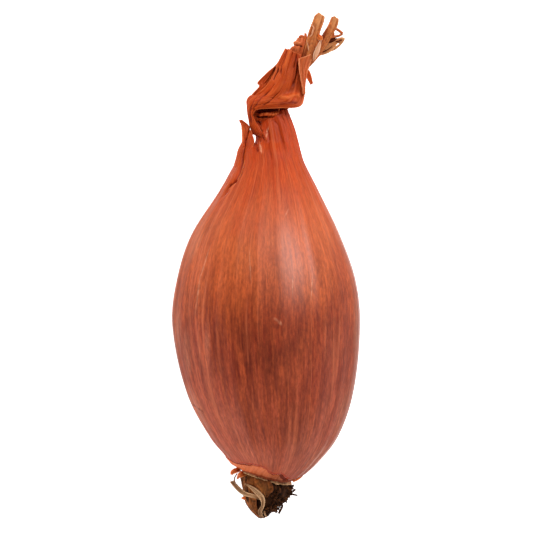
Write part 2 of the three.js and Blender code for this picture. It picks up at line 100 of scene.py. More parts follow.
def tableValue(table, at, smooth=True):
    # rows of (position, value, ...); smooth joins them by curves, otherwise by straight lines
    last = len(table) - 1
    at = min(max(at, table[0][0]), table[-1][0])
    i = 0
    while i < last - 1 and table[i + 1][0] < at:
        i += 1
    span = table[i + 1][0] - table[i][0]
    t = (at - table[i][0]) / span
    values = []
    for k in range(1, len(table[0])):
        b, c = table[i][k], table[i + 1][k]
        if not smooth:
            values.append(mixed(b, c, t))
            continue
        low, high = max(i - 1, 0), min(i + 2, last)
        fromB = (c - table[low][k]) / (table[i + 1][0] - table[low][0]) * span
        fromC = (table[high][k] - b) / (table[high][0] - table[i][0]) * span
        t2, t3 = t * t, t ** 3
        rise = fromB * (t3 - 2 * t2 + t) + fromC * (t3 - t2)
        values.append(b * (2 * t3 - 3 * t2 + 1) + c * (3 * t2 - 2 * t3) + rise)
    return values


def waveAt(x, y, z):
    return noise.noise(Vector((x, y, z)))


def evenly(start, step, count):
    return [start + step * i for i in range(count)]


def foldHeight(across, along, folds):
    # each fold is (spacing, length, height, sharp), all in mm
    total = 0
    for spacing, length, height, sharp in folds:
        wave = waveAt(across / spacing, along / length, spacing * 7.3)
        total += height * ((0.5 - 2 * abs(wave)) if sharp else wave)
    return total


def creaseHeight(x, y, creases):
    # creases seen from above: each is (kind, width, height, points), in mm
    total = 0
    for kind, width, height, points in creases:
        nearest = None
        for i, (start, end) in enumerate(zip(points, points[1:])):
            dx, dy = end[0] - start[0], end[1] - start[1]
            share = min(1, max(0, ((x - start[0]) * dx + (y - start[1]) * dy) / (dx * dx + dy * dy)))
            gapX, gapY = x - start[0] - dx * share, y - start[1] - dy * share
            distance = math.hypot(gapX, gapY)
            if nearest is None or distance < nearest[0]:
                nearest = distance, dx * gapY - dy * gapX, (i + share) / (len(points) - 1)
        distance, side, along = nearest
        fade = min(1, 6 * along, 6 * (1 - along)) * height
        if kind == "step":
            total += math.copysign(fade, side) * math.exp(-distance / width)
        else:
            total += fade * math.exp(-((distance / width) ** 2))
    return total


def storeField(piece, name, values):
    field = piece.data.attributes.new(name, "FLOAT", "POINT")
    field.data.foreach_set("value", list(values))


def storeGrain(piece, grains):
    # where each point lies across and along the fibres, in mm, for the materials
    grain = piece.data.attributes.get("grain") or piece.data.attributes.new(
        "grain", "FLOAT_VECTOR", "POINT",
    )
    grain.data.foreach_set("vector", [value for point in grains for value in point])


def storeFields(piece, grains, creases, edges):
    storeGrain(piece, grains)
    storeField(piece, "creaseAndShade", creases)
    storeField(piece, "edge", edges)


def finishPiece(piece, material, slotName, *nodes):
    # edge is how far a point is from the piece's torn edge, the crease field how deep or high it is folded,
    # in mm; some pieces add painted shade to that field
    for name, usual in (("edge", 9), ("creaseAndShade", 0)):
        if name not in piece.data.attributes:
            storeField(piece, name, [usual] * len(piece.data.vertices))
    piece.data.materials.clear()
    piece.data.materials.append(material)
    activate(piece)
    bpy.ops.object.shade_smooth()
    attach(piece, "root")
    if nodes:
        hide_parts(*nodes)
    return piece


def ringTower(name, sides, stations, grainRadius):
    # one ring, then extruded, moved and scaled to each next (y, x, z, half width, half height), in mm
    deselectAll()
    y, x, z, wide, high = stations[0]
    bpy.ops.mesh.primitive_circle_add(vertices=sides, radius=mm, rotation=(math.pi / 2, 0, 0))
    piece = bpy.context.object
    piece.name = name
    bpy.ops.object.transform_apply(location=False, rotation=True, scale=False)
    bpy.ops.object.mode_set(mode="EDIT")
    bpy.ops.mesh.select_all(action="SELECT")
    bpy.ops.transform.resize(value=(wide, 1, high), center_override=(0, 0, 0))
    bpy.ops.transform.translate(value=place(x, y, z))
    for before, after in zip(stations, stations[1:]):
        step = place(after[1], after[0], after[2]) - place(before[1], before[0], before[2])
        bpy.ops.mesh.extrude_region_move(TRANSFORM_OT_translate={"value": step})
        bpy.ops.transform.resize(
            value=(after[3] / before[3], 1, after[4] / before[4]),
            center_override=place(after[1], after[0], after[2]),
        )
    bpy.ops.object.mode_set(mode="OBJECT")
    turns = [math.tau / 4 + math.tau * i / sides for i in range(sides)]
    storeGrain(
        piece,
        [
            (
                grainRadius * math.cos(turns[i % sides]), grainRadius * math.sin(turns[i % sides]),
                stations[i // sides][0],
            )
            for i in range(len(piece.data.vertices))
        ],
    )
    storeField(piece, "station", [i // sides for i in range(len(piece.data.vertices))])
    return piece


def ringPoints(piece):
    # each point of a ring tower, with its turn round the ring and its row
    grain = piece.data.attributes["grain"].data
    station = piece.data.attributes["station"].data
    for vertex in piece.data.vertices:
        around = grain[vertex.index].vector
        yield vertex, math.atan2(around.y, around.x), station[vertex.index].value


def closeEnds(piece):
    activate(piece)
    bpy.ops.object.mode_set(mode="EDIT")
    bpy.ops.mesh.select_all(action="DESELECT")
    bpy.ops.mesh.select_mode(type="EDGE")
    bpy.ops.mesh.select_non_manifold()
    bpy.ops.mesh.edge_face_add()
    bpy.ops.mesh.select_all(action="SELECT")
    bpy.ops.mesh.normals_make_consistent(inside=False)
    bpy.ops.mesh.select_mode(type="VERT")
    bpy.ops.object.mode_set(mode="OBJECT")


def turnOutwards(piece):
    activate(piece)
    bpy.ops.object.mode_set(mode="EDIT")
    bpy.ops.mesh.select_all(action="SELECT")
    bpy.ops.mesh.normals_make_consistent(inside=False)
    bpy.ops.object.mode_set(mode="OBJECT")


def jagged(seed, depth, count):
    # a torn end: how far it falls short of its full length at u
    def tear(u):
        wave = waveAt(u * count, seed, 0) + 0.5 * waveAt(u * count * 3.1, seed, 4)
        return 0, 1 - depth * (0.5 + 0.5 * wave)

    return tear


def sheetPiece(name, look):
    # a grid drawn over rows of listed points, pleated and torn, then given its thickness
    deselectAll()
    across, along = look["faces"]
    bpy.ops.mesh.primitive_grid_add(x_subdivisions=across, y_subdivisions=along, size=1)
    piece = bpy.context.object
    piece.name = name
    rows = [[Vector(point) for point in row] for row in look["rows"]]
    columns = range(len(rows[0]))
    width = sum((b - a).length for row in rows for a, b in zip(row, row[1:])) / len(rows)
    middle = [row[len(row) // 2] for row in rows]
    length = sum((b - a).length for a, b in zip(middle, middle[1:]))
    tear = look.get("tear", lambda u: (0, 1))

    points, shares = [], []
    for vertex in piece.data.vertices:
        u = vertex.co.x + 0.5
        v = mixed(*tear(u), vertex.co.y + 0.5)
        shares.append((u, v))
        points.append(splinePoint([splinePoint([row[c] for row in rows], v) for c in columns], u))
    grains, creases, edges = [], [], []
    for i, (u, v) in enumerate(shares):
        column, row = i % (across + 1), i // (across + 1)
        sideways = points[i + (column < across)] - points[i - (column > 0)]
        onwards = points[i + (across + 1) * (row < along)] - points[i - (across + 1) * (row > 0)]
        height = foldHeight(u * width, v * length, look.get("folds", ()))
        height += creaseHeight(points[i].x, points[i].y, look.get("creases", ()))
        normal = sideways.cross(onwards).normalized()
        piece.data.vertices[i].co = place(*(points[i] + normal * height))
        grains.append((u * width, look.get("grainShift", 0), v * length))
        # the fold heights also drive painted shade in the folds and a painted highlight on their crests
        creases.append(height)
        fromSide = min(column, across - column) / across * width
        edges.append(min(fromSide, (along - row) / along * length))
    storeFields(piece, grains, creases, edges)
    turnOutwards(piece)
    addModifier(piece, "SOLIDIFY", thickness=look["thickness"] * mm, offset=0)
    return piece


# one thread, six-sided and ten rings long, that every root and fibre is a copy of
strandRings = 10


def strandModel():
    deselectAll()
    bpy.ops.mesh.primitive_circle_add(vertices=6, radius=1, rotation=(math.pi / 2, 0, 0), fill_type="NGON")
    model = bpy.context.object
    model.name = "strand"
    bpy.ops.object.transform_apply(location=False, rotation=True, scale=False)
    bpy.ops.object.mode_set(mode="EDIT")
    bpy.ops.mesh.select_all(action="SELECT")
    for _ in range(strandRings):
        bpy.ops.mesh.extrude_region_move(TRANSFORM_OT_translate={"value": (0, 1, 0)})
    bpy.ops.mesh.select_all(action="SELECT")
    bpy.ops.mesh.normals_make_consistent(inside=False)
    bpy.ops.object.mode_set(mode="OBJECT")
    return model


def strandCopy(model, path, radii, flat):
    # the thread laid along a path in mm, with its radius at each end and between
    piece = model.copy()
    piece.data = model.data.copy()
    bpy.context.scene.collection.objects.link(piece)
    path = [Vector(point) for point in path]
    length = sum((b - a).length for a, b in zip(path, path[1:]))
    grains = []
    for vertex in piece.data.vertices:
        share = vertex.co.y / strandRings
        middle = splinePoint(path, share)
        along = (splinePoint(path, share + 0.02) - splinePoint(path, share - 0.02)).normalized()
        sideways = along.cross(Vector((0.1, 0.2, 1))).normalized()
        upwards = sideways.cross(along)
        radius = splinePoint([Vector((r, 0, 0)) for r in radii], share).x
        grains.append((vertex.co.x * radius, vertex.co.z * radius, share * length))
        vertex.co = place(
            *(middle + sideways * vertex.co.x * radius + upwards * vertex.co.z * radius * flat),
        )
    storeGrain(piece, grains)
    return piece


def joinPieces(name, pieces):
    deselectAll()
    for piece in pieces:
        piece.select_set(True)
    bpy.context.view_layer.objects.active = pieces[0]
    bpy.ops.object.join()
    joined = bpy.context.object
    joined.name = name
    return joined


print("helpers ready")


def paint(red, green, blue):
    # a screen colour, 0 to 255, as the linear colour that a shader takes
    linear = [((c / 255 + 0.055) / 1.055) ** 2.4 if c > 10 else c / 255 / 12.92 for c in (red, green, blue)]
    return (*linear, 1)


def addNode(tree, kind, inputs=None, **settings):
    node = tree.nodes.new(kind)
    for key, value in settings.items():
        setattr(node, key, value)
    for key, value in (inputs or {}).items():
        if isinstance(value, bpy.types.NodeSocket):
            tree.links.new(value, node.inputs[key])
        else:
            node.inputs[key].default_value = value
    return node


def mathNode(tree, operation, a, b=0.0):
    return addNode(tree, "ShaderNodeMath", {0: a, 1: b}, operation=operation).outputs[0]


def rampBetween(tree, value, low, high, toLow=0.0, toHigh=1.0):
    node = addNode(
        tree, "ShaderNodeMapRange",
        {"Value": value, "From Min": low, "From Max": high, "To Min": toLow, "To Max": toHigh},
        interpolation_type="SMOOTHSTEP",
    )
    return node.outputs["Result"]


def mixColour(tree, share, a, b, strength=1.0):
    if strength != 1.0:
        share = mathNode(tree, "MULTIPLY", share, strength)
    node = addNode(tree, "ShaderNodeMix", {0: share, 6: a, 7: b}, data_type="RGBA")
    return node.outputs[2]


def newGroup(name, inputs, outputs):
    # an input is given as its usual number, or as the kind of a socket that has none
    tree = bpy.data.node_groups.new(name, "ShaderNodeTree")
    for socketName, usual in inputs.items():
        kind = usual if isinstance(usual, str) else "Float"
        socket = tree.interface.new_socket(socketName, in_out="INPUT", socket_type="NodeSocket" + kind)
        if kind == "Float":
            socket.default_value = usual
    for socketName, kind in outputs.items():
        tree.interface.new_socket(socketName, in_out="OUTPUT", socket_type="NodeSocket" + kind)
    return tree, tree.nodes.new("NodeGroupInput"), tree.nodes.new("NodeGroupOutput")


def stretched(tree, grain, across, along):
    scale = addNode(tree, "ShaderNodeCombineXYZ", {0: across, 1: across, 2: along}).outputs[0]
    return addNode(tree, "ShaderNodeVectorMath", {0: grain, 1: scale}, operation="MULTIPLY").outputs[0]


def roundMiddle(tree, value, contrast):
    # spreads a noise, which keeps near 0.5, over 0 to 1
    low = mathNode(tree, "SUBTRACT", 0.5, contrast)
    high = mathNode(tree, "ADD", 0.5, contrast)
    return rampBetween(tree, value, low, high)


def fibreGroup():
    # fine lengthwise fibres: Across and Along are cells per mm
    tree, ins, outs = newGroup(
        "lengthwiseFibres", {"Grain": "Vector", "Across": 1.0, "Along": 0.1, "Contrast": 0.2},
        {"Fibre": "Float"},
    )
    vector = stretched(tree, ins.outputs["Grain"], ins.outputs["Across"], ins.outputs["Along"])
    grainNoise = addNode(
        tree, "ShaderNodeTexNoise", {"Vector": vector, "Scale": 1, "Detail": 3, "Roughness": 0.6},
    )
    fibre = roundMiddle(tree, grainNoise.outputs["Fac"], ins.outputs["Contrast"])
    tree.links.new(fibre, outs.inputs["Fibre"])
    return tree


def veinGroup():
    # thin lines that run along the length, where a stretched noise crosses its middle value
    tree, ins, outs = newGroup(
        "lengthwiseVeins", {"Grain": "Vector", "Across": 0.3, "Along": 0.01, "Width": 0.03},
        {"Vein": "Float"},
    )
    vector = stretched(tree, ins.outputs["Grain"], ins.outputs["Across"], ins.outputs["Along"])
    veinNoise = addNode(
        tree, "ShaderNodeTexNoise", {"Vector": vector, "Scale": 1, "Detail": 1, "Roughness": 0.4},
    )
    off = mathNode(tree, "ABSOLUTE", mathNode(tree, "SUBTRACT", veinNoise.outputs["Fac"], 0.5))
    tree.links.new(rampBetween(tree, off, ins.outputs["Width"], 0.0), outs.inputs["Vein"])
    return tree


def mottleGroup():
    # soft blotches of one size, in object space: Size is in metres
    tree, ins, outs = newGroup(
        "mottle", {"Size": 0.004, "Contrast": 0.2, "Shift": "Vector"}, {"Mottle": "Float"},
    )
    position = addNode(tree, "ShaderNodeTexCoord").outputs["Object"]
    moved = addNode(
        tree, "ShaderNodeVectorMath", {0: position, 1: ins.outputs["Shift"]}, operation="ADD",
    ).outputs[0]
    scale = mathNode(tree, "DIVIDE", 1.0, ins.outputs["Size"])
    blotch = addNode(
        tree, "ShaderNodeTexNoise", {"Vector": moved, "Scale": scale, "Detail": 4, "Roughness": 0.55},
    )
    mottle = roundMiddle(tree, blotch.outputs["Fac"], ins.outputs["Contrast"])
    tree.links.new(mottle, outs.inputs["Mottle"])
    return tree


def shadeAndRimGroup():
    # painted shade darkens folds in their depth and a painted highlight pales their crests; torn edges dry
    # to another colour
    tree, ins, outs = newGroup(
        "foldShadeAndDryRim",
        {
            "Colour": "Color", "Crease and shade": 0.0, "Edge": 9.0, "Depth": 0.3, "Fold shade": "Color",
            "Crest highlight": "Color", "Rim": "Color", "Rim width": 0.3,
        },
        {"Colour": "Color"},
    )
    height = mathNode(tree, "DIVIDE", ins.outputs["Crease and shade"], ins.outputs["Depth"])
    # painted shade: the deeper the fold, the darker
    foldShadeShare = rampBetween(tree, height, -0.1, -1.1)
    colour = mixColour(tree, foldShadeShare, ins.outputs["Colour"], ins.outputs["Fold shade"], 0.85)
    # painted highlight: the higher the crest, the paler
    high = rampBetween(tree, height, 0.2, 1.2)
    colour = mixColour(tree, high, colour, ins.outputs["Crest highlight"], 0.6)
    rim = rampBetween(
        tree, mathNode(tree, "DIVIDE", ins.outputs["Edge"], ins.outputs["Rim width"]), 1.0, 0.3,
    )
    tree.links.new(mixColour(tree, rim, colour, ins.outputs["Rim"], 0.8), outs.inputs["Colour"])
    return tree


def scuffGroup():
    # one thin mark at a place of the skin, in object space: Across and Along are its half sizes in metres
    tree, ins, outs = newGroup(
        "scuffMark", {"Centre": "Vector", "Turn": 0.0, "Across": 0.0003, "Along": 0.003, "Soft": 0.0},
        {"Mark": "Float"},
    )
    position = addNode(tree, "ShaderNodeTexCoord").outputs["Object"]
    roughen = addNode(tree, "ShaderNodeTexNoise", {"Vector": position, "Scale": 900, "Detail": 2})
    apart = addNode(
        tree, "ShaderNodeVectorMath", {0: position, 1: ins.outputs["Centre"]}, operation="SUBTRACT",
    ).outputs[0]
    turned = addNode(
        tree, "ShaderNodeVectorRotate", {"Vector": apart, "Angle": ins.outputs["Turn"]},
        rotation_type="Z_AXIS",
    )
    parts = addNode(tree, "ShaderNodeSeparateXYZ", {0: turned.outputs[0]})
    wide = mathNode(tree, "DIVIDE", parts.outputs["X"], ins.outputs["Across"])
    long = mathNode(tree, "DIVIDE", parts.outputs["Y"], ins.outputs["Along"])
    reach = mathNode(
        tree, "ADD", mathNode(tree, "MULTIPLY", wide, wide), mathNode(tree, "MULTIPLY", long, long),
    )
    inside = rampBetween(tree, reach, 1.0, mathNode(tree, "SUBTRACT", 0.2, ins.outputs["Soft"]))
    above = rampBetween(tree, parts.outputs["Z"], -2 * mm, -1 * mm)
    ragged = mathNode(
        tree, "MAXIMUM", rampBetween(tree, roughen.outputs["Fac"], 0.38, 0.6), ins.outputs["Soft"],
    )
    mark = mathNode(tree, "MULTIPLY", mathNode(tree, "MULTIPLY", inside, above), ragged)
    tree.links.new(mark, outs.inputs["Mark"])
    return tree


groups = {
    "fibre": fibreGroup(), "vein": veinGroup(), "mottle": mottleGroup(), "shadeAndRim": shadeAndRimGroup(),
    "scuff": scuffGroup(),
}


def useGroup(tree, key, inputs):
    return addNode(tree, "ShaderNodeGroup", inputs, node_tree=groups[key]).outputs[0]


def fibres(tree, grain, across, along, contrast):
    return useGroup(tree, "fibre", {"Grain": grain, "Across": across, "Along": along, "Contrast": contrast})


# the fold colours: painted shade in folds, a painted highlight on crests, and the dry rim of torn edges
def shadedRimmedColour(tree, colour, creaseAndShade, edge, depth, foldShade, crestHighlight, rim, rimWidth):
    inputs = {"Colour": colour, "Crease and shade": creaseAndShade, "Edge": edge, "Depth": depth, "Rim width": rimWidth}
    inputs.update({"Fold shade": paint(*foldShade), "Crest highlight": paint(*crestHighlight), "Rim": paint(*rim)})
    return useGroup(tree, "shadeAndRim", inputs)


def newMaterial(name, surface):
    material = bpy.data.materials.new(name)
    material.use_nodes = True
    tree = material.node_tree
    shader = tree.nodes["Principled BSDF"]
    for key, value in surface.items():
        shader.inputs[key].default_value = value
    grain = addNode(tree, "ShaderNodeAttribute", attribute_name="grain").outputs["Vector"]
    creaseAndShade = addNode(tree, "ShaderNodeAttribute", attribute_name="creaseAndShade").outputs["Fac"]
    edge = addNode(tree, "ShaderNodeAttribute", attribute_name="edge").outputs["Fac"]
    return material, tree, shader, grain, creaseAndShade, edge


def addBump(tree, shader, height, distance, strength):
    bump = addNode(tree, "ShaderNodeBump", {"Height": height, "Distance": distance, "Strength": strength})
    tree.links.new(bump.outputs["Normal"], shader.inputs["Normal"])


def colourBands(tree, value, stops):
    ramp = addNode(tree, "ShaderNodeValToRGB", {"Fac": value})
    ramp.color_ramp.interpolation = "B_SPLINE"
    elements = ramp.color_ramp.elements
    while len(elements) < len(stops):
        elements.new(0.5)
    for element, (position, colour) in zip(elements, stops):
        element.position = position
        element.color = paint(*colour)
    return ramp.outputs["Color"]


skinLook = {
    "from": -36,  # along the bulb, in mm
    "to": 50,
    # from the roots to the mouth of the neck
    "bands": [
        (0.00, (206, 106, 76)), (0.20, (194, 92, 64)), (0.41, (142, 40, 14)), (0.52, (214, 100, 44)),
        (0.64, (220, 110, 56)), (0.80, (192, 62, 8)), (1.00, (204, 56, 2)),
    ],
    "darkStreak": (84, 20, 6), "redSide": (140, 34, 14), "paleFibre": (230, 106, 50),
    # the last two are painted shade for the folds and a painted highlight for their crests
    "paleVein": (228, 118, 72), "redBlush": (172, 44, 18), "dryEdge": (170, 44, 0), "foldShade": (128, 30, 6),
    "crestHighlight": (216, 92, 38),
    # the kinds of mark on it: colour, strength, how soft the edges are, broken up by fibres or not
    "marks": {
        "smudges": ("darkStreak", 0.68, 0.5, True), "redSides": ("redSide", 0.75, 1.0, True),
        "paintedSheenSides": ("scuffAndSheenColour", 0.5, 1.0, True), "longVeins": ("paleVein", 0.45, 1.0, False),
        "paleLines": ("scuffAndSheenColour", 0.8, 0.6, False), "scuffs": ("scuffAndSheenColour", 0.75, 0.0, False),
        "chafes": ("scuffAndSheenColour", 0.6, 1.0, False), "cracks": ("darkStreak", 1.0, 0.2, False),
    },
    # where they are: centre x and y in mm, turn, half width and half length in mm
    "scuffs": [(0.25, 42.7, 0.2, 0.3, 1.6), (-1.2, 39.2, -0.15, 0.32, 1.7)],
    "chafes": [(2.1, 1.7, -0.9, 0.45, 0.9), (2.9, 1.1, 0.3, 0.6, 0.6), (3.1, 0.8, -0.5, 0.4, 0.6)],
    "cracks": [(-15.7, -17.6, -1.1, 0.3, 1.0), (-14.3, -18.4, -1.0, 0.3, 1.2)],
    # pale colour of the scuffs, also used for the painted sheen on the flanks
    "scuffAndSheenColour": (244, 170, 130),
    # pale lengthwise veins that stand out
    "longVeins": [
        (-2.6, -19.0, -0.06, 0.35, 8), (1.5, -24.0, 0.02, 0.4, 8), (5.3, -20.0, 0.11, 0.4, 9),
        (-8.5, 12.0, 0.1, 0.4, 8), (-2.9, 14.0, 0.03, 0.35, 9), (-3.6, 12.0, 0.03, 1.8, 6),
        (12.8, -3.0, 0.0, 0.4, 8), (-14.4, -6.0, -0.02, 0.4, 7),
    ],
    # sharper pale lines
    "paleLines": [
        (-13.3, 13.6, 0.3, 0.24, 5.5), (-14.8, 6.5, 0.13, 0.24, 5.5), (4.5, 24.7, 0.45, 0.2, 1.3),
        (-3.4, 13.0, -0.06, 0.2, 5), (9.8, 8.4, 0.05, 0.2, 3.5), (5.7, 8.8, 0.02, 0.2, 3),
    ],
    # painted sheen: paler places of the flanks, standing in for the bright surroundings' reflection
    "paintedSheenSides": [
        (-15.2, 18.0, 0.36, 1.2, 6), (-19.4, -1.0, 0, 1.3, 10), (-17.2, -6.0, -0.06, 1.4, 7),
        (-12.6, -3.5, 0, 0.8, 7), (19.8, -2.0, 0, 1.0, 10), (-15.4, -18.0, -0.5, 2.2, 9),
        (16.9, -19.0, 0.31, 1.6, 10), (11.2, -29.0, 0.8, 1.6, 5),
    ],
    # redder places of the sides
    "redSides": [
        (16.6, 14.0, -0.22, 3.0, 10), (15.6, 5.0, -0.05, 2.6, 8), (-15.9, 8.5, 0.14, 1.0, 6),
        (8.6, 33.0, -0.2, 1.6, 6),
    ],
    # darker smudges under the skin
    "smudges": [
        (-4.2, -5.1, 0, 2.8, 8), (-1.0, -3.5, 0, 1.8, 8), (3.4, -1.5, 0, 1.3, 9), (9.1, -3.2, 0, 1.6, 7),
        (11.6, 13.0, -0.1, 1.2, 6), (-4.2, -19.6, -0.1, 2.0, 8), (3.4, -21.6, 0.05, 1.8, 8),
        (8.0, -22.0, 0.15, 2.2, 7), (-10.9, -8.4, 0, 1.4, 6), (15.0, 5.0, 0, 1.5, 7),
        (14.2, 9.5, -0.14, 0.7, 5.5), (16.6, 7.0, -0.1, 0.6, 4.5), (12.2, 2.0, 0, 0.8, 4),
        (9.0, -2.0, 0, 0.8, 5), (3.1, 4.7, 0, 0.5, 4.5), (-1.7, -2.0, 0, 0.9, 7.5), (-4.9, -2.5, 0, 0.7, 4),
        (5.0, -4.6, 0, 1.1, 3), (-12.4, 21.4, 0.36, 1.1, 4), (-15.4, 7.6, 0.1, 0.7, 3),
        (0.6, -7.5, 0, 1.5, 6), (-0.7, -23.5, 0, 1.1, 5),
    ],
}


def drySkin(name, look):
    # the pale sheen is that of its dry surface seen at a flat angle
    surface = {
        "Specular IOR Level": 0.2, "Coat Roughness": 0.4, "Sheen Weight": 0.8, "Sheen Roughness": 0.2,
    }
    material, tree, shader, grain, creaseAndShade, edge = newMaterial(name, surface)
    shader.inputs["Sheen Tint"].default_value = paint(255, 224, 214)
    across = mathNode(tree, "ABSOLUTE", addNode(tree, "ShaderNodeSeparateXYZ", {0: grain}).outputs["X"])
    along = addNode(tree, "ShaderNodeSeparateXYZ", {0: grain}).outputs["Z"]
    warp = fibres(tree, grain, 0.5, 0.01, 0.35)
    level = addNode(
        tree, "ShaderNodeMapRange", {"Value": along, "From Min": look["from"], "From Max": look["to"]},
    ).outputs["Result"]
    level = mathNode(
        tree, "ADD", level, mathNode(tree, "MULTIPLY", mathNode(tree, "SUBTRACT", warp, 0.5), 0.12),
    )
    base = colourBands(tree, level, look["bands"])

    # darker lengthwise patches, strongest round the middle of the bulb
    broad = fibres(tree, grain, 0.55, 0.07, 0.16)
    middle = mathNode(tree, "MULTIPLY", rampBetween(tree, along, -36, -8), rampBetween(tree, along, 14, -5))
    middle = mathNode(tree, "MULTIPLY", middle, rampBetween(tree, across, 13, 5, 0.25, 0.55))
    patches = mathNode(tree, "MULTIPLY", broad, mathNode(tree, "ADD", middle, 0.1))
    base = mixColour(tree, patches, base, paint(*look["darkStreak"]))
    blush = useGroup(tree, "mottle", {"Size": 9 * mm, "Contrast": 0.15, "Shift": (0.03, 0.01, 0)})
    base = mixColour(tree, blush, base, paint(*look["redBlush"]), 0.25)
    dashes = fibres(tree, grain, 2.2, 0.3, 0.2)
    dashes = rampBetween(tree, dashes, 0, 1, 0.4, 1)
    for kind, (colour, strength, soft, dashed) in look["marks"].items():
        for x, y, turn, wide, long in look[kind]:
            inputs = {"Centre": place(x, y, 0), "Turn": turn, "Across": wide * mm, "Along": long * mm}
            mark = useGroup(tree, "scuff", {**inputs, "Soft": soft})
            if dashed:
                mark = mathNode(tree, "MULTIPLY", mark, dashes)
            base = mixColour(tree, mark, base, paint(*look[colour]), strength)

    # fine fibres, pale and dark, and the shorter cells between them
    fine = fibres(tree, grain, 3.4, 0.16, 0.2)
    base = mixColour(tree, fine, base, paint(*look["paleFibre"]), 0.38)
    cells = fibres(tree, grain, 3.0, 0.8, 0.15)
    lower = rampBetween(tree, along, 24, 4, 0.6, 1)
    cells = mathNode(tree, "MULTIPLY", cells, lower)
    base = mixColour(tree, cells, base, paint(*look["darkStreak"]), 0.4)
    dark = fibres(tree, grain, 1.3, 0.1, 0.12)
    dark = mathNode(tree, "MULTIPLY", dark, lower)
    base = mixColour(tree, dark, base, paint(*look["darkStreak"]), 0.32)

    # the pale veins that run the whole length
    veins = useGroup(tree, "vein", {"Grain": grain, "Across": 0.3, "Along": 0.004, "Width": 0.03})
    faint = fibres(tree, grain, 0.7, 0.06, 0.2)
    veins = mathNode(tree, "MULTIPLY", veins, rampBetween(tree, faint, 0, 1, 0.0, 1))
    base = mixColour(tree, veins, base, paint(*look["paleVein"]), 0.34)
    # painted shade in the folds, a painted highlight on their crests, and the dry colour of the torn edge
    foldShaded = shadedRimmedColour(tree, base, creaseAndShade, edge, 0.42, look["foldShade"], look["crestHighlight"], look["dryEdge"], 0.5)
    tree.links.new(foldShaded, shader.inputs["Base Color"])
    tree.links.new(rampBetween(tree, fine, 0, 1, 0.4, 0.5), shader.inputs["Roughness"])
    tree.links.new(rampBetween(tree, along, 34, 18, 0, 0.8), shader.inputs["Coat Weight"])
    cross = useGroup(tree, "mottle", {"Size": 1.2 * mm, "Contrast": 0.3, "Shift": (0, 0, 0)})
    relief = mathNode(
        tree, "ADD", mathNode(tree, "MULTIPLY", fine, 0.6), mathNode(tree, "MULTIPLY", veins, 0.8),
    )
    relief = mathNode(tree, "ADD", relief, mathNode(tree, "MULTIPLY", cross, 0.4))
    addBump(tree, shader, relief, 0.06 * mm, 0.5)
    return material


def fibrousLeaf(name, look):
    # dry leaf: a base colour with pale and dark lengthwise fibres and darker patches
    material, tree, shader, grain, creaseAndShade, edge = newMaterial(
        name, {"Roughness": look["rough"], "Specular IOR Level": 0.2},
    )
    patch = useGroup(tree, "mottle", {"Size": look["patchSize"] * mm, "Contrast": 0.18, "Shift": (0, 0, 0)})
    base = mixColour(tree, patch, paint(*look["base"]), paint(*look["patch"]))
    dark = fibres(tree, grain, look["across"] * 0.45, 0.1, 0.14)
    base = mixColour(tree, dark, base, paint(*look["dark"]), look["darkShare"])
    fine = fibres(tree, grain, look["across"], 0.14, 0.18)
    base = mixColour(tree, fine, base, paint(*look["pale"]), look["paleShare"])
    rim, rimWidth = look.get("rim", look["pale"]), look.get("rimWidth", 0.3)
    depth = look.get("depth", 0.3)
    # the dark fibre colour doubles as painted shade in folds, the pale one as a painted highlight on crests
    foldShaded = shadedRimmedColour(tree, base, creaseAndShade, edge, depth, look["dark"], look["pale"], rim, rimWidth)
    tree.links.new(foldShaded, shader.inputs["Base Color"])
    addBump(tree, shader, mathNode(tree, "ADD", fine, dark), look["bump"] * mm, 0.7)
    return material


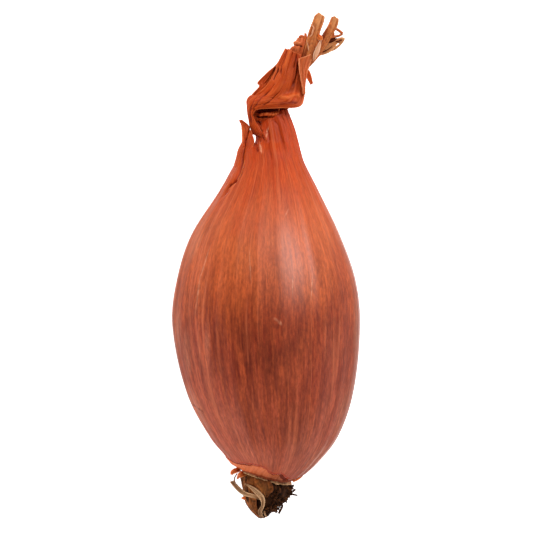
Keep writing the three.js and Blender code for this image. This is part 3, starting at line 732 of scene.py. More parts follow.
leafLooks = {
    "neckSkin": {
        "base": (192, 68, 16), "patch": (176, 52, 8), "patchSize": 5, "dark": (104, 18, 2),
        "darkShare": 0.35, "pale": (232, 114, 52), "paleShare": 0.34, "rim": (222, 112, 60),
        "rimWidth": 0.25, "across": 3.4, "bump": 0.1, "rough": 0.5,
    },
    "flapSkin": {
        "base": (204, 92, 44), "patch": (190, 76, 30), "patchSize": 3, "dark": (130, 40, 10),
        "darkShare": 0.35, "pale": (236, 138, 88), "paleShare": 0.4, "rim": (232, 140, 92), "rimWidth": 0.3,
        "across": 3.0, "bump": 0.1, "rough": 0.5,
    },
    "dryLeaf": {
        "base": (222, 120, 54), "patch": (160, 66, 24), "patchSize": 0.8, "dark": (132, 48, 18),
        "darkShare": 0.3, "pale": (242, 164, 104), "paleShare": 0.4, "across": 3.4, "bump": 0.1,
        "rough": 0.6,
    },
    "frayedLeaf": {
        "base": (226, 148, 88), "patch": (206, 122, 64), "patchSize": 2, "dark": (120, 52, 18),
        "darkShare": 0.42, "depth": 0.6, "pale": (246, 188, 134), "paleShare": 0.5, "across": 3.0,
        "bump": 0.12, "rough": 0.65,
    },
    "leafLoop": {
        "base": (204, 100, 44), "patch": (176, 72, 24), "patchSize": 1, "dark": (110, 40, 10),
        "darkShare": 0.35, "pale": (232, 146, 90), "paleShare": 0.4, "across": 3.0, "bump": 0.08,
        "rough": 0.6,
    },
    "leafShade": {
        "base": (110, 40, 14), "patch": (70, 18, 4), "patchSize": 1, "dark": (40, 8, 2), "darkShare": 0.5,
        "pale": (160, 80, 36), "paleShare": 0.25, "across": 3.0, "bump": 0.1, "rough": 0.7,
    },
    "paleFilm": {
        "base": (210, 142, 98), "patch": (200, 118, 74), "patchSize": 1.5, "dark": (190, 100, 60),
        "darkShare": 0.3, "pale": (236, 190, 156), "paleShare": 0.5, "across": 3.0, "bump": 0.05,
        "rough": 0.45,
    },
    "underSkin": {
        "base": (216, 112, 70), "patch": (202, 92, 40), "patchSize": 3, "dark": (128, 30, 4),
        "darkShare": 0.14, "pale": (234, 142, 102), "paleShare": 0.35, "rim": (120, 34, 4),
        "rimWidth": 0.35, "across": 1.8, "bump": 0.05, "rough": 0.45,
    },
    "looseSkin": {
        "base": (212, 88, 22), "patch": (184, 62, 12), "patchSize": 1.5, "dark": (120, 32, 4),
        "darkShare": 0.4, "pale": (238, 140, 74), "paleShare": 0.4, "across": 3.0, "bump": 0.08,
        "rough": 0.5,
    },
    "baseRim": {
        "base": (200, 134, 84), "patch": (160, 88, 44), "patchSize": 1.5, "dark": (70, 30, 12),
        "darkShare": 0.6, "pale": (238, 194, 150), "paleShare": 0.4, "rim": (232, 180, 130),
        "rimWidth": 0.3, "across": 1.6, "bump": 0.08, "rough": 0.6,
    },
    "rootStrap": {
        "base": (164, 114, 74), "patch": (126, 80, 44), "patchSize": 1.5, "dark": (60, 34, 14),
        "darkShare": 0.65, "pale": (210, 164, 122), "paleShare": 0.55, "across": 4.0, "bump": 0.14,
        "rough": 0.7,
    },
    "plateFilm": {
        "base": (168, 90, 38), "patch": (30, 11, 4), "patchSize": 1.0, "dark": (24, 8, 2),
        "darkShare": 0.75, "pale": (190, 114, 54), "paleShare": 0.35, "rim": (120, 62, 26), "rimWidth": 0.2,
        "across": 1.8, "bump": 0.2, "rough": 0.7,
    },
    "rootCork": {
        "base": (64, 30, 10), "patch": (24, 10, 4), "patchSize": 1.3, "dark": (12, 4, 2), "darkShare": 0.7,
        "pale": (130, 74, 34), "paleShare": 0.25, "across": 1.5, "bump": 0.25, "rough": 0.8,
    },
    "darkRoot": {
        "base": (30, 14, 7), "patch": (70, 36, 16), "patchSize": 0.9, "dark": (10, 4, 2), "darkShare": 0.6,
        "pale": (120, 74, 42), "paleShare": 0.25, "across": 3.0, "bump": 0.1, "rough": 0.8,
    },
    "rootScar": {
        "base": (104, 56, 24), "patch": (50, 22, 8), "patchSize": 0.7, "dark": (18, 8, 3), "darkShare": 0.6,
        "pale": (166, 106, 60), "paleShare": 0.35, "across": 3.0, "bump": 0.1, "rough": 0.8,
    },
}


def buildSheets(sheets, slotName, node):
    for name, look in sheets.items():
        finish = finishes[look.get("finish", "neckSkin")]
        finishPiece(sheetPiece(name, look), finish, look.get("slot", slotName), look.get("node", node))


skinFinish = drySkin("drySkin", skinLook)
finishes = {name: fibrousLeaf(name, look) for name, look in leafLooks.items()}
print("materials ready")


outline = {
    # y, left x, right x, in mm, seen from above, where the sides turn
    "rows": [
        (-34.5, -6.0, 7.0), (-31.0, -7.5, 11.2), (-25.0, -12.5, 16.0), (-15.0, -17.8, 19.5),
        (0.0, -21.0, 21.0), (10.0, -20.0, 20.0), (20.0, -16.8, 16.5), (30.0, -10.4, 11.7),
        (36.0, -7.0, 8.7), (38.5, -5.7, 7.9), (40.5, -2.6, 7.4), (43.5, -2.5, 6.6), (47.3, -1.8, 5.2),
    ],
}
# the rim round the root plate: it slants down to the right and lifts again past liftFrom
baseRing = {"x": -0.4, "y": -33.5, "wide": 6.2, "high": 5.7, "slope": -0.31, "lift": 0.035, "liftFrom": 1}

skin = {
    "sides": 144, "levels": evenly(-32, 0.5, 9) + evenly(-26, 2, 28) + evenly(29.3, 0.6, 31),
    "thickness": 0.22, "inset": 0.12, "tornFade": 7,  # how far up the bulb the torn edge moves the rows
    "lift": 0.13,  # how far that edge stands off, over the last liftOver of it
    "liftOver": 1.2, "creasesFrom": 28,  # the creases below begin here, and the crumpled lip at lipFrom
    "lipFrom": 45.4, "lipCrumple": 0.32, "lipWave": 0.25,
    # where it ends round the base: degrees from +X by way of +Z, and y in mm
    "tornEdge": [
        (0, -32.9), (20, -33.3), (36, -33.8), (54, -33.9), (66, -33.2), (76, -32.5), (92, -32.4),
        (98, -31.9), (104, -30.9), (120, -30.3), (150, -30.1), (165, -29.4), (180, -28.8), (210, -30.4),
        (240, -31.6), (262, -31.0), (285, -32.6), (320, -32.4), (360, -32.9),
    ],
    # where it ends round the mouth of the neck, likewise
    "lip": [
        (0, 46.9), (20, 47.7), (38, 47.9), (59, 47.7), (79, 47.0), (95, 45.9), (131, 45.4), (160, 45.9),
        (180, 47.0), (270, 47.2), (360, 46.9),
    ],
    # from the lip inwards: how far inside the neck's wall and how far below the lip, in mm
    "mouth": [(0.25, 0.05), (0.55, 0.5), (0.8, 1.4), (1.1, 2.6)],
    # these creases also take painted shade in their grooves and a painted highlight on their ridges
    "creases": [
        ("groove", 0.22, -0.5, [(-2.3, 47.2), (-2.0, 45.5), (-1.5, 44.0)]),
        ("groove", 0.18, -0.7, [(-2.8, 41.0), (-2.4, 39.6), (-1.8, 38.0)]),
        (
            "groove", 0.2, -0.2,
            [(1.0, 45.6), (2.3, 44.8), (2.8, 43.9), (3.2, 41.9), (4.5, 38.5), (5.4, 35.7)],
        ),
        ("groove", 0.22, -0.22, [(0.0, 43.9), (0.6, 42.1), (0.7, 39.4), (1.4, 35.7)]),
        ("ridge", 0.3, 0.2, [(-1.4, 44.2), (-0.4, 42.5), (0.0, 40.9), (-0.6, 38.0)]),
        ("groove", 0.2, -0.18, [(3.2, 46.7), (4.1, 45.0), (5.0, 42.8), (5.7, 40.3)]),
        ("ridge", 0.3, 0.16, [(2.0, 47.2), (3.2, 44.8), (3.9, 42.0), (5.2, 37.0)]),
        # short crumples at the left of the mouth
        ("groove", 0.1, -0.3, [(-1.6, 43.6), (-0.8, 42.8), (-0.9, 41.6), (-0.2, 40.6)]),
        ("ridge", 0.14, 0.3, [(-1.2, 43.0), (-0.2, 42.2), (0.1, 41.2), (0.9, 40.2)]),
        ("groove", 0.1, -0.3, [(-1.9, 42.2), (-1.3, 41.4), (-1.4, 40.2)]),
        ("ridge", 0.14, 0.25, [(-1.7, 40.4), (-0.9, 39.6), (-0.8, 38.2), (-0.2, 37.0)]),
        # the foot of the shoulder's fold, its groove dark with painted shade
        (
            "step", 0.35, 0.28,
            [(-9.4, 28.7), (-8.4, 30.3), (-6.8, 31.8), (-5.9, 33.4), (-5.4, 35.7), (-4.9, 38.2)],
        ),
        (
            "groove", 0.26, -0.95,
            [(-9.9, 27.8), (-8.4, 30.3), (-6.8, 31.8), (-5.9, 33.4), (-5.4, 35.7), (-4.9, 38.2)],
        ),
    ],
}
grainRadius = 14


def skinSize(y):
    left, right = tableValue(outline["rows"], y)
    wide = (right - left) / 2
    flat = smoothBetween(y, *bulbShape["neckFlattens"])
    high = wide * bulbShape["depthShare"] * mixed(1, bulbShape["neckShare"], flat)
    return (left + right) / 2, wide, high


def skinPoint(y, turn, out=0):
    x, wide, high = skinSize(y)
    return Vector((x + (wide + out) * math.cos(turn), y, (high + out) * math.sin(turn)))


def aroundValue(table, turn):
    return tableValue(table, math.degrees(turn) % 360, smooth=False)[0]


def tornAt(turn):
    chips = 0.18 * waveAt(math.cos(turn) * 9, math.sin(turn) * 9, 2)
    chips += 0.14 * waveAt(math.cos(turn) * 30, math.sin(turn) * 30, 5)
    return aroundValue(skin["tornEdge"], turn) + chips


neckNotch = {"from": 35.9, "left": 7.0}  # where the notch in the neck's left side begins


def skinGrain(y, turn):
    # the fibres run straight up the neck, past the notch
    x, wide, _ = skinSize(y)
    notch = max(0, x - wide + neckNotch["left"]) if y > neckNotch["from"] else 0
    share = (wide * math.cos(turn) + notch / 2) / (wide + notch / 2)
    share = min(1, max(-1, share))
    return grainRadius * share, math.copysign(grainRadius * math.sqrt(1 - share * share), math.sin(turn))


def skinRelief(y, turn):
    # low ribs over the bulb, pleats up the neck, in mm
    x, z = skinGrain(y, turn)
    total = 0.14 * waveAt(x / 3.1, z / 3.1, y / 90)
    total += 0.07 * waveAt(x / 1.2, z / 1.2, y / 60)
    neck = smoothBetween(y, 26, 44)
    total += neck * 0.24 * (0.22 - abs(waveAt(x / 2.6, z / 2.6, y / 60)))
    total += neck * 0.12 * waveAt(x / 1.1, z / 1.1, y / 20)
    ribs = 0.6 * math.cos(19 * turn + 0.4) + 0.4 * math.cos(25 * turn + 2.1)
    wide = skinSize(y)[1]
    total += 0.09 * ribs * min(1, wide / 12) * (1 - neck)
    return total


def pressFlat(piece):
    # the underside rests on the table: nothing of it goes below
    for vertex in piece.data.vertices:
        vertex.co.z = max(vertex.co.z, 0)


def outerSkin():
    levels, mouth = skin["levels"], skin["mouth"]
    top = levels[-1]
    stations = []
    for y in levels:
        x, wide, high = skinSize(y)
        stations.append((y, x, 0, wide, high))
    y, x, z, wide, high = stations[-1]
    stations += [(y - drop, x, z, wide - inward, high - inward) for inward, drop in mouth]
    piece = ringTower("outer_skin", skin["sides"], stations, grainRadius)
    addModifier(piece, "SUBSURF", levels=1, render_levels=1)
    grains, creases, edges = [], [], []
    rowTable = [(row, y) for row, y in enumerate(levels)]
    mouthTable = [(len(levels) - 1 + i, *values) for i, values in enumerate([(0, 0)] + mouth)]
    for vertex, turn, row in ringPoints(piece):
        y = tableValue(rowTable, row, smooth=False)[0]
        inward, drop = tableValue(mouthTable, row, smooth=False)
        keep = max(0, 1 - (y - levels[0]) / skin["tornFade"])
        placedY = y + (tornAt(turn) - levels[0]) * keep
        placedY += (aroundValue(skin["lip"], turn) - top) * smoothBetween(y, 40, top)
        edge = placedY - tornAt(turn)
        lift = skin["lift"] * smoothBetween(edge, skin["liftOver"], 0) * (0.7 + waveAt(turn * 1.5, 3, 3))
        relief = skinRelief(min(placedY, 47), turn)
        if math.sin(turn) > 0 and placedY > skin["creasesFrom"]:
            near = skinPoint(placedY, turn)
            relief += creaseHeight(near.x, near.y, skin["creases"]) * smoothBetween(math.sin(turn), 0, 0.35)
        crumple = waveAt(math.cos(turn) * 3.2, math.sin(turn) * 2.2, placedY / 2.5)
        lipNear = smoothBetween(y, skin["lipFrom"], top)
        out = relief + lift - skin["inset"] - inward + lipNear * (skin["lipCrumple"] * crumple - 0.05)
        point = skinPoint(placedY, turn, out)
        point.y -= drop
        point.z += lipNear * skin["lipWave"] * waveAt(point.x / 1.3, 7, placedY / 2)
        vertex.co = place(*point)
        grains.append((*skinGrain(placedY, turn), point.y))
        # the folds and the inside of the mouth take painted shade from this, the ridges a painted highlight
        creases.append(relief * mixed(0.5, 1, smoothBetween(y, 24, 36)) - 0.6 * drop)
        edges.append(edge if edge < 3 else 9)
    storeFields(piece, grains, creases, edges)
    turnOutwards(piece)
    addModifier(piece, "SOLIDIFY", thickness=skin["thickness"] * mm, offset=-1)
    pressFlat(piece)
    return finishPiece(piece, skinFinish, "skin", "bulb")


underSkin = {
    "sides": 96, "rings": 32, "top": -26, "thickness": 0.2,
    # how far it lies inside the bulb's form, and how far it stands out at its left
    "sunk": 0.34, "leftOut": 0.15,
    # so many rings are turned in over the plate's seat, to innerShare of the rim
    "inner": 4, "innerShare": 0.84, "innerDeep": 2.2,
    # under the torn edge it is narrower by this factor
    "pressed": 0.95,
}


def baseSkew(x):
    # how far the base is skewed along the axis at a distance x from its middle
    past = max(0, baseRing["x"] + x - baseRing["liftFrom"])
    return baseRing["slope"] * x + baseRing["lift"] * past**2


def basePoint(turn, share=1.0):
    x = baseRing["wide"] * share * math.cos(turn)
    z = baseRing["high"] * share * math.sin(turn)
    return Vector((baseRing["x"] + x, baseRing["y"] + baseSkew(x), z))


def secondSkin():
    # the next skin, seen between the torn edge and the root plate, turned in over the plate's seat
    stations = [
        (baseRing["y"] + 0.3 * i, baseRing["x"], 0, 5 + i * 0.2, 5 + i * 0.2)
        for i in range(underSkin["rings"] + 1)
    ]
    piece = ringTower("second_skin", underSkin["sides"], stations, grainRadius)
    addModifier(piece, "SUBSURF", levels=1, render_levels=1)
    grains, creases, edges = [], [], []
    for vertex, turn, row in ringPoints(piece):
        chips = 0.16 * waveAt(math.cos(turn) * 6, math.sin(turn) * 6, 8)
        rim = basePoint(turn) + Vector((0, chips, 0))
        creaseAndShade = 0.05 * waveAt(math.cos(turn) * 8, math.sin(turn) * 8, vertex.co.y / mm)
        if row < underSkin["inner"]:
            share = row / underSkin["inner"]
            seat = basePoint(turn, underSkin["innerShare"]) + Vector((0, underSkin["innerDeep"], 0))
            point = seat.lerp(rim, share)
            # the turned-in part is darkened with painted shade
            creaseAndShade -= 1 - share
        else:
            climb = (row - underSkin["inner"]) / (underSkin["rings"] - underSkin["inner"])
            y = mixed(rim.y, underSkin["top"], climb)
            leftwards = smoothBetween(-math.cos(turn), 0.3, 0.9)
            sunk = mixed(underSkin["sunk"], -underSkin["leftOut"], leftwards)
            side = skinPoint(y, turn, creaseAndShade - sunk)
            blend = smoothBetween(climb, 0, mixed(0.45, 0.15, leftwards))
            point = Vector((mixed(rim.x, side.x, blend), y, mixed(rim.z, side.z, blend)))
            # under the torn edge it lies deeper, and a painted shadow darkens it
            x, wide, high = skinSize(y)
            covered = y - tornAt(math.atan2(point.z / high, (point.x - x) / wide))
            deeper = mixed(1, underSkin["pressed"], smoothBetween(covered, -0.5, 0.3))
            point = Vector((mixed(x, point.x, deeper), y, point.z * deeper))
            creaseAndShade -= 0.5 * smoothBetween(covered, -0.45, 0)
        vertex.co = place(*point)
        grains.append((grainRadius * math.cos(turn), grainRadius * math.sin(turn), point.y))
        creases.append(creaseAndShade)
        # the turned-in part takes the dark rim colour in full, as painted shade
        edges.append(abs(point.y - rim.y) if row >= underSkin["inner"] else 0)
    storeFields(piece, grains, creases, edges)
    turnOutwards(piece)
    addModifier(piece, "SOLIDIFY", thickness=underSkin["thickness"] * mm, offset=-1)
    pressFlat(piece)
    return finishPiece(piece, finishes["underSkin"], "skin", "bulb")


outerSkin()
secondSkin()

# a third rim, pale, over the front and the right of the root plate, a chip of loose skin at its
# right and two curls at its left
rimTurns = [math.radians(degrees) for degrees in range(-80, 141, 10)]
baseSheets = {
    "base_rim": {
        "rows": [
            [tuple(basePoint(turn, 0.9) + Vector((0, 1.2, 0))) for turn in rimTurns],
            [tuple(basePoint(turn, 0.93) + Vector((0, 0.1, 0))) for turn in rimTurns],
            [
                tuple(basePoint(turn, 0.98) + Vector((0, -0.6 - 0.35 * max(0, math.cos(turn)), 0)))
                for turn in rimTurns
            ],
        ],
        "faces": (150, 14), "thickness": 0.2, "folds": [(0.7, 2, 0.14, False), (0.3, 1, 0.08, False)],
        "tear": jagged(21, 0.25, 24), "finish": "baseRim",
    },
    "base_chip": {
        "rows": [
            [(5.5, -33.8, 3.2), (5.8, -34.3, 3.1), (6.0, -34.6, 2.8)],
            [(6.5, -33.6, 2.9), (6.7, -34.0, 2.8), (6.8, -34.3, 2.5)],
            [(7.3, -33.3, 2.3), (7.4, -33.6, 2.2), (7.5, -33.9, 2.0)],
            [(7.9, -33.0, 1.6), (8.0, -33.2, 1.5), (8.1, -33.4, 1.4)],
        ],
        "faces": (14, 26), "thickness": 0.18, "folds": [(0.5, 3, 0.1, True)], "finish": "looseSkin",
    },
    "curl_upper": {
        "rows": [
            [(-5.6, -31.0, 2.6), (-5.8, -31.6, 2.9), (-5.5, -32.2, 2.8)],
            [(-6.5, -31.5, 2.9), (-6.6, -31.9, 3.3), (-6.3, -32.5, 2.9)],
            [(-7.1, -31.7, 2.8), (-7.2, -32.1, 3.2), (-6.8, -32.7, 2.7)],
            [(-7.7, -32.2, 2.4), (-7.6, -32.5, 2.7), (-7.1, -32.8, 2.3)],
            [(-7.8, -32.9, 1.9), (-7.6, -33.0, 2.1), (-7.4, -33.1, 1.9)],
        ],
        "faces": (14, 26), "thickness": 0.18, "folds": [(0.5, 3, 0.14, True)], "finish": "looseSkin",
    },
    "curl_lower": {
        "rows": [
            [(-5.0, -31.9, 3.3), (-4.8, -32.5, 3.4), (-4.2, -33.0, 3.5)],
            [(-5.7, -32.3, 3.4), (-5.3, -32.8, 3.7), (-4.8, -33.3, 3.5)],
            [(-6.1, -32.7, 3.2), (-5.8, -33.1, 3.5), (-5.4, -33.5, 3.2)],
            [(-6.3, -33.2, 2.8), (-6.1, -33.4, 3.0), (-5.8, -33.6, 2.8)],
            [(-6.4, -33.9, 2.4), (-6.3, -33.9, 2.5), (-6.1, -33.9, 2.4)],
        ],
        "faces": (14, 26), "thickness": 0.18, "folds": [(0.5, 3, 0.14, True)], "finish": "looseSkin",
    },
}

buildSheets(baseSheets, "skin", "bulb")
print("bulb done")


# the front sheet: the two ends of each row in x and y, and heights between them
fanRows = [
    ((-2.9, 42.3), (-0.1, 41.5), (0.5, 0.9, 1.4, 1.9, 2.2)),
    ((-3.7, 44.2), (-1.5, 43.8), (0.6, 1.2, 1.7, 1.9, 1.7)),
    ((-4.0, 45.7), (-2.5, 45.5), (0.6, 1.5, 2.1, 2.3, 2.0)),
    ((-4.3, 47.1), (-2.9, 46.6), (0.7, 1.9, 2.7, 2.9, 2.5)),
    ((-4.4, 48.4), (-2.1, 47.7), (0.8, 2.3, 3.2, 3.5, 3.1)),
    ((-4.3, 49.7), (0.0, 48.0), (0.8, 2.7, 3.7, 4.1, 3.5)),
    ((-3.5, 50.8), (3.2, 48.1), (0.9, 3.0, 4.2, 4.5, 3.6)),
    ((-1.6, 51.8), (7.3, 48.3), (1.6, 3.4, 3.9, 4.3, 3.2)),
    ((0.1, 53.5), (8.4, 50.1), (1.9, 3.5, 3.6, 2.9, 2.6)),
    ((1.7, 55.7), (8.7, 53.4), (1.9, 3.3, 3.5, 2.7, 2.4)),
    ((2.5, 57.7), (9.0, 56.6), (1.7, 2.9, 3.1, 2.7, 2.5)),
    ((3.6, 59.8), (8.6, 58.4), (1.5, 2.6, 2.9, 2.6, 2.4)),
    ((4.6, 61.7), (8.0, 59.8), (1.2, 2.2, 2.7, 2.4, 2.2)),
]


def fanPoints(rows):
    made = []
    for (x0, y0), (x1, y1), heights in rows:
        last = len(heights) - 1
        made.append([(mixed(x0, x1, i / last), mixed(y0, y1, i / last), z) for i, z in enumerate(heights)])
    return made


neckSheets = {
    "neck_front": {
        "rows": fanPoints(fanRows), "faces": (100, 200), "thickness": 0.25,
        "folds": [(1.5, 12, 0.16, True), (0.45, 8, 0.1, True), (2.6, 14, 0.16, False)],
        "creases": [
            # a dark line of painted shadow along the front sheet's left edge
            (
                "groove", 0.26, -0.9,
                [
                    (2.4, 57.3), (1.4, 55.7), (0.5, 54.2), (-0.2, 53.2), (-1.0, 52.4), (-2.4, 51.4),
                    (-3.3, 50.6),
                ],
            ),
            (
                "ridge", 0.3, 0.16,
                [(3.0, 57.0), (2.0, 55.4), (1.1, 54.0), (0.4, 53.0), (-0.6, 52.0), (-2.0, 51.0)],
            ),
            ("groove", 0.2, -0.6, [(2.8, 57.2), (2.4, 55.9), (1.9, 55.0), (1.5, 54.0)]),
            ("groove", 0.2, -0.4, [(3.0, 51.6), (1.4, 50.0), (0.0, 48.8), (-0.7, 48.4)]),
            ("groove", 0.22, -0.35, [(0.9, 52.1), (-1.1, 50.2), (-2.4, 48.4), (-2.9, 47.1)]),
            ("groove", 0.22, -0.3, [(-0.7, 51.6), (-2.5, 50.0), (-3.4, 48.2), (-3.5, 46.2), (-3.2, 44.2)]),
            ("groove", 0.3, -0.25, [(2.3, 53.9), (0.9, 51.8), (-0.7, 50.0)]),
            # broad and shallow: mostly painted shade on the strip's left side
            ("groove", 0.8, -0.14, [(-4.2, 50.0), (-4.3, 48.4), (-4.1, 46.4), (-3.6, 44.4), (-2.8, 42.6)]),
            (
                "ridge", 0.5, 0.35,
                [(2.6, 49.8), (3.6, 50.3), (4.8, 50.1), (5.8, 50.7), (6.9, 50.8), (7.4, 49.9)],
            ),
            ("groove", 0.45, -0.2, [(2.4, 48.6), (4.2, 49.1), (5.6, 49.2), (7.6, 48.9)]),
            # painted shadow of the right flap
            ("groove", 0.2, -0.4, [(7.2, 58.4), (6.9, 56.1), (6.5, 54.4), (5.8, 52.6)]),
            # these two broad and shallow grooves are mostly painted shade in the hollow
            ("groove", 0.9, -0.14, [(2.8, 56.8), (3.6, 55.2), (4.4, 53.4)]),
            ("groove", 0.6, -0.08, [(6.9, 54.4), (6.2, 52.8), (5.2, 51.8), (4.2, 51.6)]),
            ("groove", 0.22, -0.25, [(5.0, 61.4), (4.3, 59.3), (3.4, 57.3), (3.2, 55.2)]),
            ("groove", 0.22, -0.25, [(6.1, 61.4), (5.4, 59.1), (4.8, 57.0), (4.3, 55.2)]),
            ("ridge", 0.25, 0.1, [(5.6, 61.2), (4.8, 59.0), (4.0, 56.8), (3.6, 55.0)]),
            ("groove", 0.2, -0.25, [(6.9, 60.6), (6.5, 58.4), (5.9, 56.6)]),
        ],
        "tear": jagged(3, 0.035, 9),
    },
    "neck_back": {
        "rows": [
            [(-3.0, 44.4, -0.4), (0.2, 44.2, -1.0), (3.6, 44.6, -0.4)],
            [(-3.3, 46.4, -0.2), (0.2, 46.2, -1.0), (3.8, 46.6, -0.2)],
            [(-3.9, 48.6, 0.2), (0.8, 48.4, -0.9), (5.4, 48.5, 1.2)],
            [(-3.3, 50.9, 0.9), (2.2, 50.6, -0.7), (8.1, 50.2, 1.5)],
            [(-1.6, 52.9, 1.3), (3.0, 52.9, -0.3), (8.2, 53.2, 1.2)],
            [(-1.9, 53.8, 1.4), (3.8, 54.6, -0.2), (8.5, 55.2, 1.0)],
            [(0.3, 56.0, 1.4), (4.8, 56.8, -0.2), (8.8, 57.0, 0.8)],
            [(2.3, 57.9, 1.2), (5.8, 58.8, -0.3), (8.6, 58.8, 0.8)],
            [(4.4, 61.4, 0.9), (6.2, 60.9, 0.0), (8.0, 60.2, 0.9)],
        ],
        "faces": (80, 110), "thickness": 0.25, "folds": [(1.4, 12, 0.25, True), (0.5, 8, 0.12, True)],
        # a dark line of painted shadow under the front sheet's edge
        "creases": [("groove", 0.14, -0.4, [(2.1, 57.2), (1.4, 55.9), (0.2, 54.2), (-0.9, 53.0)])],
        "tear": jagged(5, 0.05, 9), "grainShift": 30,
    },
    "shoulder_fold": {
        "rows": [
            [(-10.5, 28.9, 0.0), (-9.3, 28.9, 4.4), (-8.1, 28.7, 6.0)],
            [(-9.3, 31.3, 0.0), (-8.3, 31.1, 4.7), (-7.4, 30.6, 6.4)],
            [(-7.7, 34.0, 0.0), (-6.8, 33.8, 3.7), (-5.6, 33.2, 5.4)],
            [(-6.7, 36.7, 0.0), (-5.9, 36.4, 3.0), (-4.5, 36.1, 4.1)],
            [(-6.1, 38.9, 0.2), (-5.1, 38.7, 2.7), (-3.4, 38.4, 2.9)],
            [(-5.2, 40.8, 0.3), (-4.1, 40.7, 2.0), (-2.7, 40.5, 1.6)],
            [(-5.2, 42.6, 0.3), (-4.3, 42.6, 1.4), (-3.2, 42.5, 1.0)],
            [(-5.3, 44.1, 0.2), (-4.7, 44.3, 0.8), (-4.0, 44.4, 0.7)],
            [(-6.0, 45.5, 0.0), (-5.6, 45.5, 0.3), (-5.2, 45.3, 0.2)],
        ],
        "faces": (40, 130), "thickness": 0.25, "folds": [(0.9, 12, 0.16, True), (0.4, 8, 0.07, True)],
        "creases": [
            # the dark line at the fold's foot: painted shade in this groove
            (
                "groove", 0.26, -1.0,
                [(-9.9, 27.8), (-8.4, 30.3), (-6.8, 31.8), (-5.9, 33.4), (-5.3, 35.6), (-4.9, 38.4)],
            ),
            ("groove", 0.2, -0.9, [(-5.3, 35.6), (-4.9, 38.4), (-4.5, 40.7), (-4.0, 42.4), (-3.5, 43.9)]),
            ("ridge", 0.25, 0.3, [(-5.6, 36.0), (-5.0, 38.0), (-4.8, 40.4), (-4.9, 43.0), (-5.4, 44.8)]),
        ],
        "grainShift": 60,
    },
    "right_flap": {
        "rows": [
            [(8.1, 51.0, 3.3), (8.3, 51.0, 3.1), (8.6, 51.1, 2.3)],
            [(7.8, 53.1, 3.3), (8.2, 53.1, 3.2), (8.7, 53.0, 2.2)],
            [(7.4, 55.6, 3.3), (8.1, 55.6, 3.2), (9.1, 55.4, 2.2)],
            [(7.2, 57.6, 3.3), (8.2, 57.6, 3.3), (9.7, 57.5, 2.2)],
            [(7.2, 58.9, 3.2), (8.9, 59.6, 3.5), (10.8, 60.5, 2.6)],
        ],
        "faces": (30, 60), "thickness": 0.22, "folds": [(0.8, 8, 0.16, True)],
        "creases": [
            ("ridge", 0.2, 0.25, [(7.1, 59.1), (7.4, 56.6), (7.6, 54.3), (7.9, 53.0), (8.2, 51.6)]),
        ],
        "tear": jagged(9, 0.04, 5), "grainShift": 90, "finish": "flapSkin",
    },
    "top_flap": {
        "rows": [
            [(4.6, 60.0, 1.4), (6.4, 59.8, 2.2), (8.2, 59.4, 2.0)],
            [(5.3, 61.2, 1.8), (6.8, 61.2, 2.5), (8.5, 60.8, 2.4)],
            [(6.2, 62.2, 2.0), (7.3, 62.4, 2.6), (8.8, 62.0, 2.6)],
            [(7.1, 63.6, 1.8), (7.8, 63.7, 2.2), (8.6, 63.4, 2.2)],
            [(7.7, 64.4, 1.7), (8.0, 64.4, 1.9), (8.3, 64.2, 1.9)],
        ],
        "faces": (30, 44), "thickness": 0.22, "folds": [(0.6, 3, 0.24, True)],
        "creases": [
            ("groove", 0.16, -0.5, [(5.4, 61.7), (6.4, 62.0), (7.4, 61.8), (8.2, 61.4)]),
            ("ridge", 0.2, 0.4, [(6.0, 62.3), (6.9, 62.5), (7.6, 62.2)]),
            ("groove", 0.1, -0.4, [(7.0, 63.6), (7.8, 63.7), (8.4, 63.6)]),
        ],
        "tear": jagged(11, 0.16, 6), "grainShift": 120, "finish": "flapSkin",
    },
    "spur": {
        "rows": [
            [(8.6, 55.3, 1.6), (9.1, 56.0, 1.7), (9.5, 56.5, 1.6)],
            [(9.3, 54.2, 1.4), (9.7, 54.6, 1.5), (10.1, 55.0, 1.4)],
            [(9.9, 53.3, 1.0), (10.15, 53.4, 1.1), (10.4, 53.6, 1.0)],
        ],
        "faces": (12, 24), "thickness": 0.25, "folds": [(0.6, 4, 0.12, True)], "grainShift": 150,
    },
    "mouth_leaf": {
        "rows": [
            [(-2.9, 45.4, 0.6), (0.0, 45.2, 1.3), (2.6, 46.0, 1.5)],
            [(-2.7, 46.4, 1.2), (0.2, 46.5, 2.1), (2.8, 47.1, 2.1)],
            [(-2.4, 47.2, 1.2), (0.5, 47.2, 2.2), (3.0, 47.9, 2.0)],
            [(-1.8, 48.2, 0.4), (0.9, 48.5, 0.8), (3.1, 49.0, 0.9)],
        ],
        "faces": (40, 40), "thickness": 0.22, "folds": [(2.4, 3, 0.3, False), (0.8, 3, 0.15, True)],
        "creases": [
            # these grooves carry painted shade for the dark cavity of the mouth
            ("groove", 0.45, -0.8, [(-2.3, 47.4), (0.0, 47.6), (3.2, 47.7)]),
            ("ridge", 0.3, 0.4, [(-1.6, 46.4), (-0.3, 46.8), (1.6, 46.7), (2.7, 47.0)]),
            ("groove", 0.2, -0.7, [(-2.4, 46.2), (-1.2, 46.0), (0.8, 46.1)]),
        ],
        "grainShift": 180,
    },
}
buildSheets(neckSheets, "skin", "bulb")

core = {
    # y, x, z, half width, half height
    "stations": [
        (43.0, 2.4, -0.6, 3.6, 1.6), (47.0, 1.2, -0.3, 3.0, 1.1), (50.6, 2.2, 1.0, 3.8, 1.3),
        (54.6, 4.6, 0.9, 3.1, 1.3), (58.2, 7.2, 0.8, 1.9, 1.4), (59.3, 7.7, 0.8, 1.6, 1.2),
    ],
    "sides": 24,
}


